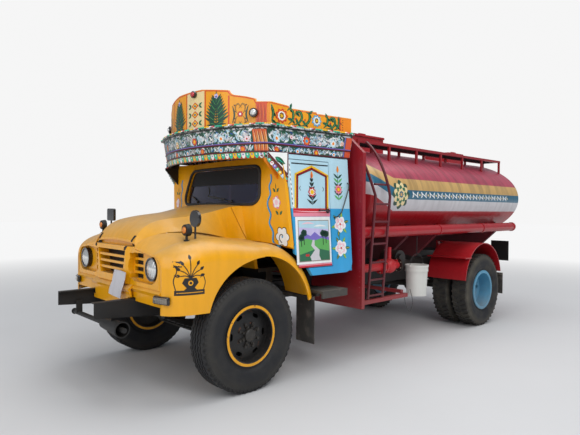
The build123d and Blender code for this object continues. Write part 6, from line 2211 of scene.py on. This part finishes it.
    def _corner(self, tag: str, side: int) -> None:
        """Paint the corner panel with a wave, leaf pairs and blossoms."""
        layer = PaintLayer(Settled(CornerPanel(side), MeshProbe(("cab_front",))).place)
        wave = [
            (0.18, 2.02), (0.190, 1.963), (0.150, 1.90), (0.166, 1.824), (0.120, 1.76), (0.113, 1.699),
            (0.160, 1.62), (0.140, 1.536), (0.190, 1.45), (0.184, 1.358), (0.250, 1.30), (0.321, 1.242),
        ]
        layer.stroke(wave, 0.024, Paint.SKY_BLUE, 1)
        layer.stroke([(a + 0.010, b) for a, b in wave], 0.006, Paint.DEEP_BLUE, 2)
        for u, v in ((0.262, 1.842), (0.290, 1.620)):
            for flank in (1, -1):
                turn = 90 - flank * 48
                layer.leaf(u + flank * 0.010, v, 0.058, 0.028, turn, Paint.DARK_GREEN, 1, Paint.LEAF)
        layer.leaf(0.262, 1.870, 0.060, 0.012, 90, Paint.DARK_GREEN, 1)
        layer.bloom(0.259, 1.740, 0.068, 5, Paint.PINK, 3)
        layer.bloom(0.259, 1.740, 0.056, 5, Paint.WHITE, 4, turn=0.4)
        layer.bloom(0.259, 1.740, 0.030, 5, Paint.ROSE, 5)
        layer.bloom(0.318, 1.403, 0.098, 6, Paint.SOOT, 2, tall=1.1)
        layer.bloom(0.318, 1.403, 0.090, 6, Paint.WHITE, 3, tall=1.1)
        turns = [(0.012 * k, k * 0.9) for k in range(1, 6)]
        swirl = [(0.318 + far * math.cos(a), 1.403 + far * math.sin(a)) for far, a in turns]
        layer.stroke(swirl, 0.010, Paint.SOOT, 4)
        layer.disc(0.318, 1.403, 0.010, Paint.SKY_BLUE, 5, n=8)
        layer.finish(f"corner_paint_{tag}", "chassis", dust=0.35)


@dataclass
class FrontTrim:
    """Seal, pelmet and painted shade on the screen, wipers, plate, straps, lamps, radiator, sill and painted
    vases at the front.
    """

    probe: MeshProbe = field(default_factory=lambda: MeshProbe(("cab_front", "scuttle")))

    def build(self) -> None:
        """Make the pieces."""
        self._seal()
        self._screen_pelmet_and_painted_shade()
        self._wipers()
        self._plate()
        self._straps()
        self._side_lamps()
        self._mesh_behind_grille()
        self._fender_ornament()
        self._bonnet_sill()

    @staticmethod
    def _screen_line(grow: float, steps: int = 6) -> list[Point2]:
        """Give the windscreen opening's rounded outline in y and z."""
        corners = [(-0.700, 1.735), (0.700, 1.735), (0.625, 2.105), (-0.625, 2.105)]
        radius = 0.085
        line: list[Point2] = []
        for i, corner in enumerate(corners):
            before, after = Vector(corners[i - 1]), Vector(corners[(i + 1) % 4])
            here = Vector(corner)
            one, two = (before - here).normalized(), (after - here).normalized()
            half = one.angle(two) / 2
            centre = here + (one + two).normalized() * (radius / math.sin(half))
            start = here + one * (radius / math.tan(half))
            end = here + two * (radius / math.tan(half))
            for k in range(steps + 1):
                spoke = (start - centre).slerp(end - centre, k / steps)
                point = centre + spoke.normalized() * (radius + grow)
                line.append((point.x, point.y))
        return line

    def _seal(self) -> None:
        """Run a rubber seal round the screen."""
        stock = Stock()
        line = self._screen_line(0.014)
        dense: list[Point2] = []
        for a, b in zip(line, line[1:] + line[:1]):
            dense += run(a, b, max(1, int(math.dist(a, b) / 0.08)))[:-1]
        path = [self.probe.ahead(y, z, 1.95, 0.003) for y, z in dense]
        stock.tube(path + path[:1], 0.016, 8)
        stock.finish("screen_seal", RUBBER, "chassis")

    def _screen_pelmet_and_painted_shade(self) -> None:
        """Cover the screen's upper half with a black sheet with a toothed edge: a fringed pelmet, and painted
        shade for the dim cab under the canopy.
        """
        glass = MeshProbe(("windscreen",))
        layer = PaintLayer(lambda u, v, h: glass.ahead(u, v, 1.95, h), lift=0.0012)
        top = [p for p in self._screen_line(-0.004) if p[1] > 1.95]
        edge, teeth = 0.655, 30
        low = [(edge * (k / teeth - 1), 1.926 + (0.013 if k % 2 else 0.0)) for k in range(2 * teeth + 1)]
        # Painted shade: the black sheet stands for the dark cab behind the glass, with the pelmet's teeth
        # along its lower edge.
        layer.patch(top + low, Paint.BLACK, 0)
        layer.stroke([(-0.20, 1.935), (-0.15, 1.86), (-0.16, 1.82)], 0.030, Paint.BLACK, 1, taper=True)
        layer.finish("screen_film", "chassis", gloss=0.7, dust=0.1)

    def _wipers(self) -> None:
        """Lay two wipers on the glass, each arm from a pivot on the scuttle."""
        stock = Stock()
        glass = MeshProbe(("windscreen", "cab_front"))
        for pivot_y, tip_y in ((0.30, -0.14), (-0.36, -0.70 + 0.16)):
            line = []
            for share in (0.0, 0.25, 0.5, 0.75, 1.0):
                y = pivot_y + (tip_y - pivot_y) * share
                line.append(glass.ahead(y, 1.752 + 0.055 * share, 1.99, 0.014))
            stock.tube(line, 0.0055, 6)
            stock.tube([p + Vector((-0.004, 0, 0.010)) for p in line[1:]], 0.0075, 6)
            pivot = [(0.0, 0.0), (0.016, 0.0), (0.014, 0.020), (0.0, 0.022)]
            stock.lathe(pivot, line[0] - FORWARD * 0.012, Vector((1, 0, 0.2)), 14)
        stock.finish("wipers", BLACK_GLOSS, "chassis")

    def _plate(self) -> None:
        """Fix a blank, creased plate askew before the grille."""
        stock = Stock()
        corners = ((3.248, 0.072, 0.886), (3.252, 0.315, 0.866), (3.222, 0.375, 1.100), (3.218, 0.140, 1.106))
        foot_left, foot_right, top_right, top_left = (Vector(corner) for corner in corners)
        rows = []
        for k in range(5):
            low, high = foot_left.lerp(top_left, k / 4), foot_right.lerp(top_right, k / 4)
            creases = [0.004 * math.sin(k * 2.1 + i * 1.3) for i in range(5)]
            rows.append([low.lerp(high, i / 4) + FORWARD * crease for i, crease in enumerate(creases)])
        stock.grid(rows)
        stock.grid([[p - FORWARD * 0.003 for p in row] for row in rows])
        edge = rows[0] + [r[-1] for r in rows[1:]] + rows[-1][-2::-1] + [r[0] for r in rows[-2:0:-1]]
        stock.tube(edge + [edge[0]], 0.0035, 6)
        stock.finish("blank_plate", PLATE_WHITE, "chassis")

    def _straps(self) -> None:
        """Stretch rubber straps from the bonnet's lip down to the grille."""
        probe = MeshProbe(("front_panel", "bonnet"))
        stock = Stock()
        for y_top, y_low in ((0.361, 0.286), (-0.347, -0.405)):
            rows = []
            for k in range(9):
                t = k / 8
                y, z = y_top + (y_low - y_top) * t, 1.430 - 0.185 * t
                row = []
                for across in (-0.014, -0.007, 0.007, 0.014):
                    hit = probe.cast(Vector((3.6, y + across, z + 0.35)), Vector((-1, 0, -0.75)))
                    lift = 0.010 if abs(across) < 0.01 else 0.002
                    row.append((hit or Vector((3.15, y + across, z))) + Vector((0.7, 0, 0.5)) * lift)
                rows.append(row)
            stock.grid(rows)
        stock.finish("bonnet_straps", RUBBER, "chassis")

    def _side_lamps(self) -> None:
        """Set a rounded lamp low on each fender's nose, and an orange glass on each stalk lamp."""
        probe = MeshProbe(("fender_left", "fender_right"))
        dark, lens, amber = Stock(), Stock(), Stock()
        for side in (1, -1):
            hit = probe.cast(Vector((4.2, side * 0.900, 0.915)), Vector((-1, 0, 0)))
            base = hit or Vector((3.140, side * 0.900, 0.915))
            turn = Matrix.Translation(base) @ Matrix.Rotation(side * math.radians(14), 4, "Z")
            dark.slab((-0.02, -0.092, -0.036), (0.012, 0.092, 0.036), 0.016, turn=turn)
            lens.slab((0.008, -0.080, -0.025), (0.022, 0.080, 0.025), 0.016, turn=turn)
            dome = [(0.030, 0.0), (0.029, 0.006), (0.020, 0.013), (0.0, 0.016)]
            amber.lathe(dome, Vector((2.929, side * 0.865, 1.488)), FORWARD, 22)
        dark.finish("side_lamp_rims", BLACK_GLOSS, "chassis")
        lens.finish("side_lamps", GREY_LENS, "chassis")
        amber.finish("stalk_lenses", ORANGE_LENS, "chassis")

    def _bonnet_sill(self) -> None:
        """Fill the gap under the bonnet's lip with a curved sill."""
        probe = MeshProbe(("bonnet",))
        stock = Stock()
        rows = []
        for k in range(25):
            y = -0.50 + k / 24
            hit = probe.cast(Vector((3.118, y, 1.20)), Vector((0, 0, 1)))
            top = (hit.z if hit is not None else 1.335) - 0.006
            section = (
                (3.110, 1.300), (3.124, 1.300), (3.124, top - 0.004), (3.120, top), (3.110, top),
                (3.110, 1.300),
            )
            rows.append([Vector((x, y, z)) for x, z in section])
        stock.grid(rows)
        stock.finish("bonnet_sill", YELLOW, "chassis", smooth=False)

    def _fender_ornament(self) -> None:
        """Paint a black vase of leaves over a bar on each fender's side."""
        probe = MeshProbe(("fender_left", "fender_right"))
        vase = [
            (2.955, 1.000), (3.065, 1.000), (3.045, 1.018), (3.080, 1.060), (3.060, 1.100), (2.960, 1.100),
            (2.940, 1.060), (2.975, 1.018),
        ]
        leaves = (
            (90, 0.150), (62, 0.120), (118, 0.120), (38, 0.105), (142, 0.105), (12, 0.085), (168, 0.085),
        )
        for tag, side in SIDES:
            layer = PaintLayer(Flank(probe, side, 1.12, -0.036).place, lift=0.0012)
            layer.box(2.885, 0.958, 3.135, 1.000, Paint.BLACK, 0)
            layer.stroke([(2.90, 0.979), (3.12, 0.979)], 0.006, Paint.YELLOW, 1, smooth=0)
            layer.patch(vase, Paint.BLACK, 0)
            layer.disc(3.010, 1.058, 0.022, Paint.YELLOW, 1, n=12)
            layer.disc(3.010, 1.058, 0.012, Paint.BLACK, 2, n=12)
            for angle, size in leaves:
                bend = math.radians(angle)
                tip = (3.010 + size * math.cos(bend), 1.098 + size * math.sin(bend))
                middle = ((3.010 + tip[0]) / 2, (1.098 + tip[1]) / 2 + 0.012)
                layer.stroke([(3.010, 1.098), middle, tip], 0.008, Paint.BLACK, 0)
                layer.leaf(*tip, 0.046, 0.026, angle, Paint.BLACK, 0)
            layer.stroke([(3.125, 1.000), (3.140, 1.08), (3.118, 1.16), (3.135, 1.21)], 0.007, Paint.BLACK, 0)
            layer.stroke([(2.895, 1.000), (2.880, 1.06), (2.902, 1.12), (2.925, 1.10)], 0.007, Paint.BLACK, 0)
            layer.box(3.080, 1.190, 3.140, 1.238, Paint.BLACK, 0)
            layer.disc(3.110, 1.214, 0.013, Paint.YELLOW, 1, n=10)
            layer.finish(f"fender_ornament_{tag}", "chassis")

    def _mesh_behind_grille(self) -> None:
        """Stand a dark radiator with fins behind the grille's openings."""
        stock = Stock()
        for k in range(46):
            y = -0.60 + 1.20 * k / 45
            stock.slab((3.070, y - 0.003, 1.03), (3.082, y + 0.003, 1.30), 0.0008)
        stock.slab((3.050, -0.62, 1.02), (3.066, 0.62, 1.31), 0.003)
        for y0, y1 in ((-0.560, -0.330), (-0.290, 0.290), (0.330, 0.560)):
            stock.slab((3.068, y0, 1.030), (3.090, y1, 1.300), 0.002)
        stock.finish("radiator", BLACK, "chassis", smooth=False)


@dataclass
class BodyTrim:
    """Rivets, grips, latches, painted tank ornament and small fittings along the truck."""

    def build(self) -> None:
        """Make the pieces."""
        self._bulkhead_rivets()
        self._door_furniture()
        self._walkway_mesh()
        self._tail_lamps()
        self._flange_bolts()
        self._wire_loop()
        self._tank_ornament()

    def _bulkhead_rivets(self) -> None:
        """Rivet the bulkhead's side edges."""
        spots = []
        for side in (1, -1):
            for k in range(28):
                z = 0.66 + 0.058 * k
                spots.append((Vector((0.8902, side * 1.165, z)), -FORWARD))
                spots.append((Vector((0.9398, side * 1.165, z)), FORWARD))
        studs("bulkhead_rivets", spots, 0.007, 0.004, FRAME_RED, "chassis", 8)

    def _door_furniture(self) -> None:
        """Fit a latch and a grab handle to each door, and the bent rod behind it."""
        grip = (
            (-0.090, 0.600, 0.002), (-0.090, 0.600, 0.034), (-0.030, 0.604, 0.038), (0.030, 0.606, 0.034),
            (0.030, 0.606, 0.002),
        )
        bend = (
            (-0.400, 0.900, 0.004), (-0.395, 0.880, 0.030), (-0.378, 0.827, 0.034), (-0.320, 0.700, 0.034),
            (-0.262, 0.585, 0.034), (-0.205, 0.540, 0.030), (-0.180, 0.530, 0.004),
        )
        for tag, side in SIDES:
            panel = SidePanel(side)
            stock = Stock()
            stock.tube([panel.place(*p) for p in grip], 0.008, 8)
            base = panel.place(-0.090, 0.600, 0.0)
            out = panel.place(-0.090, 0.600, 1.0) - base
            stock.lathe([(0.0, 0.0), (0.024, 0.0), (0.022, 0.010), (0.0, 0.012)], base, out, 16)
            stock.finish(f"door_handle_{tag}", BLACK_GLOSS, f"door_{tag}")
            rod = Stock()
            rod.tube([panel.place(*p) for p in bend], 0.007, 8)
            rod.finish(f"side_rod_{tag}", BLACK_GLOSS, "chassis")

    def _walkway_mesh(self) -> None:
        """Lay expanded mesh on the walkways' frames."""
        low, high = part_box("walkways")
        stock = Stock()
        step, slat_step = 0.040, 0.058
        strand = FORWARD * 0.006
        for side in (1, -1):
            for k in range(int((high[0] - low[0] - 0.10) / step) - 3):
                x = low[0] + 0.04 + k * step
                for x0, x1 in ((x, x + step * 4), (x + step * 4, x)):
                    a, b = Vector((x0, side * 0.535, 2.490)), Vector((x1, side * 0.800, 2.490))
                    stock.grid([[a - strand, a + strand], [b - strand, b + strand]])
        for side in (1, -1):
            y0, y1 = sorted((side * 0.532, side * 0.803))
            for k in range(int((high[0] - low[0] - 0.08) / slat_step)):
                x = low[0] + 0.05 + k * slat_step
                stock.slab((x, y0, 2.474), (x + 0.007, y1, 2.492), 0.001)
        stock.finish("walkway_mesh", BLACK, "chassis", smooth=False)

    def _tail_lamps(self) -> None:
        """Glaze the three lamps on each rear board."""
        lens = Stock()
        dome = [(0.026, 0.012), (0.026, 0.0), (0.018, -0.0015), (0.0, -0.002)]
        for side in (1, -1):
            for lamp in range(3):
                lens.lathe(dome, Vector((-3.2775, side * (0.700 + 0.090 * lamp), 1.060)), FORWARD, 18)
        lens.finish("tail_lamps", RED_LENS, "chassis")

    def _flange_bolts(self) -> None:
        """Bolt the pipe flanges."""
        spots = []
        for x in (0.2205, 0.1705, -0.1195):
            spots += bolt_circle((x, 0.900, 0.985), 0.072, 6, 1, FORWARD)
        studs("flange_bolts", spots, 0.010, 0.012, BARE_STEEL, "chassis")

    def _tank_ornament(self) -> None:
        """Paint a lotus and a row of leaves on the tank's blue stripe."""
        probe = MeshProbe(("tank",))
        lotus = (
            (0.178, Paint.DARK_GREEN, 0.0), (0.150, Paint.CREAM, 0.26), (0.112, Paint.GREEN, 0.0),
            (0.080, Paint.CREAM, 0.26), (0.045, Paint.STRIPE_BLUE, 0.0),
        )
        for tag, side in SIDES:
            layer = PaintLayer(Flank(probe, side, 1.1).place, lift=0.0012)
            u, v = 0.085, 1.862
            for level, (r, tint, turn) in enumerate(lotus, 1):
                layer.bloom(u, v, r, 8, tint, level, turn=turn)
            layer.disc(u, v, 0.022, Paint.STRIPE_YELLOW, 6)
            for k in range(14):
                x = -0.22 - 0.192 * k
                wave = [(x + 0.070, 1.850), (x + 0.030, 1.876), (x - 0.030, 1.852), (x - 0.070, 1.878)]
                layer.stroke(wave, 0.013, Paint.WHITE, 1, taper=True)
                for flank in (1, -1):
                    layer.leaf(x + flank * 0.030, 1.864, 0.056, 0.026, 90 - flank * 40, Paint.WHITE, 1)
                    layer.leaf(x - flank * 0.030, 1.862, 0.050, 0.022, 270 - flank * 44, Paint.WHITE, 1)
                layer.disc(x - 0.096, 1.864, 0.014, Paint.CREAM, 1, n=10)
            layer.finish(f"tank_ornament_{tag}", "chassis")

    def _wire_loop(self) -> None:
        """Hang the thin wire loop under the side bar."""
        stock = Stock()
        path = (
            (-0.02, 1.085, 0.640), (-0.02, 1.100, 0.560), (-0.055, 1.105, 0.470), (-0.110, 1.105, 0.425),
            (-0.165, 1.100, 0.470), (-0.185, 1.095, 0.560), (-0.180, 1.060, 0.690),
        )
        stock.tube([Vector(point) for point in smooth_line(path)], 0.003, 6)
        stock.finish("wire_loop", BLACK_GLOSS, "chassis")


@dataclass
class SeatPads:
    """The bench: two padded cushions on a box base, blown up by cloth simulation."""

    bulge: float = 0.022
    frames: int = 20

    def build(self) -> None:
        """Make the cushions and the base."""
        base = Stock()
        base.slab((1.105, -0.845, 1.062), (1.475, 0.845, 1.228), 0.012)
        box = base.finish("seat_base", DARK_PLASTIC, "chassis")
        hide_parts("seat")
        for name, low, high in (
            ("seat_cushion", (1.085, -0.885, 1.238), (1.495, 0.885, 1.352)),
            ("seat_back", (1.070, -0.885, 1.372), (1.155, 0.885, 1.755)),
        ):
            pad = self._pad(name, low, high)

    def _pad(self, name: str, low: Sequence[float], high: Sequence[float]) -> bpy.types.Object:
        """Blow up one cushion.

        Args:
            name: The piece's name.
            low: Its lowest corner.
            high: Its highest corner.

        Returns:
            The cushion.
        """
        stock = Stock()
        stock.slab([a + 0.012 for a in low], [b - 0.012 for b in high], 0.02)
        pad = bpy.data.objects.new(name, stock.mesh(name))
        bpy.context.scene.collection.objects.link(pad)
        remesh = pad.modifiers.new("remesh", "REMESH")
        remesh.mode = "VOXEL"
        remesh.voxel_size = 0.020
        self._apply(pad)
        before = [vert.co.copy() for vert in pad.data.vertices]
        cloth = pad.modifiers.new("cloth", "CLOTH")
        cloth.settings.use_pressure = True
        cloth.settings.uniform_pressure_force = 4.0
        cloth.settings.effector_weights.gravity = 0.0
        cloth.settings.quality = 4
        for step in range(1, self.frames + 1):
            bpy.context.scene.frame_set(step)
        self._apply(pad)
        for vert, start in zip(pad.data.vertices, before):
            shift = vert.co - start
            if shift.length > self.bulge:
                vert.co = start + shift * (self.bulge / shift.length)
            vert.co = Vector([min(max(vert.co[k], low[k] - 0.012), high[k] + 0.012) for k in range(3)])
        bpy.context.scene.frame_set(1)
        smooth = pad.modifiers.new("smooth", "SUBSURF")
        smooth.levels = 1
        self._apply(pad)
        pad.data.shade_smooth()
        pad.data.materials.append(SEAT_HIDE.material())
        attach(pad, "chassis")
        return pad

    @staticmethod
    def _apply(piece: bpy.types.Object) -> None:
        """Bake the piece's modifiers into its mesh."""
        mesh = baked(piece)
        piece.modifiers.clear()
        old = piece.data
        piece.data = mesh
        bpy.data.meshes.remove(old)


def main() -> None:
    """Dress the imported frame, add the painted ornament and trim, and light it."""
    logging.basicConfig(level=logging.INFO, format="%(name)s: %(message)s")
    Studio().build()
    NodeDresser().dress()
    for crew in (Tyres(), WheelTrim(), CrownPaint(), CabPaint(), FrontTrim(), BodyTrim(), SeatPads()):
        crew.build()


if __name__ == "__main__":
    main()
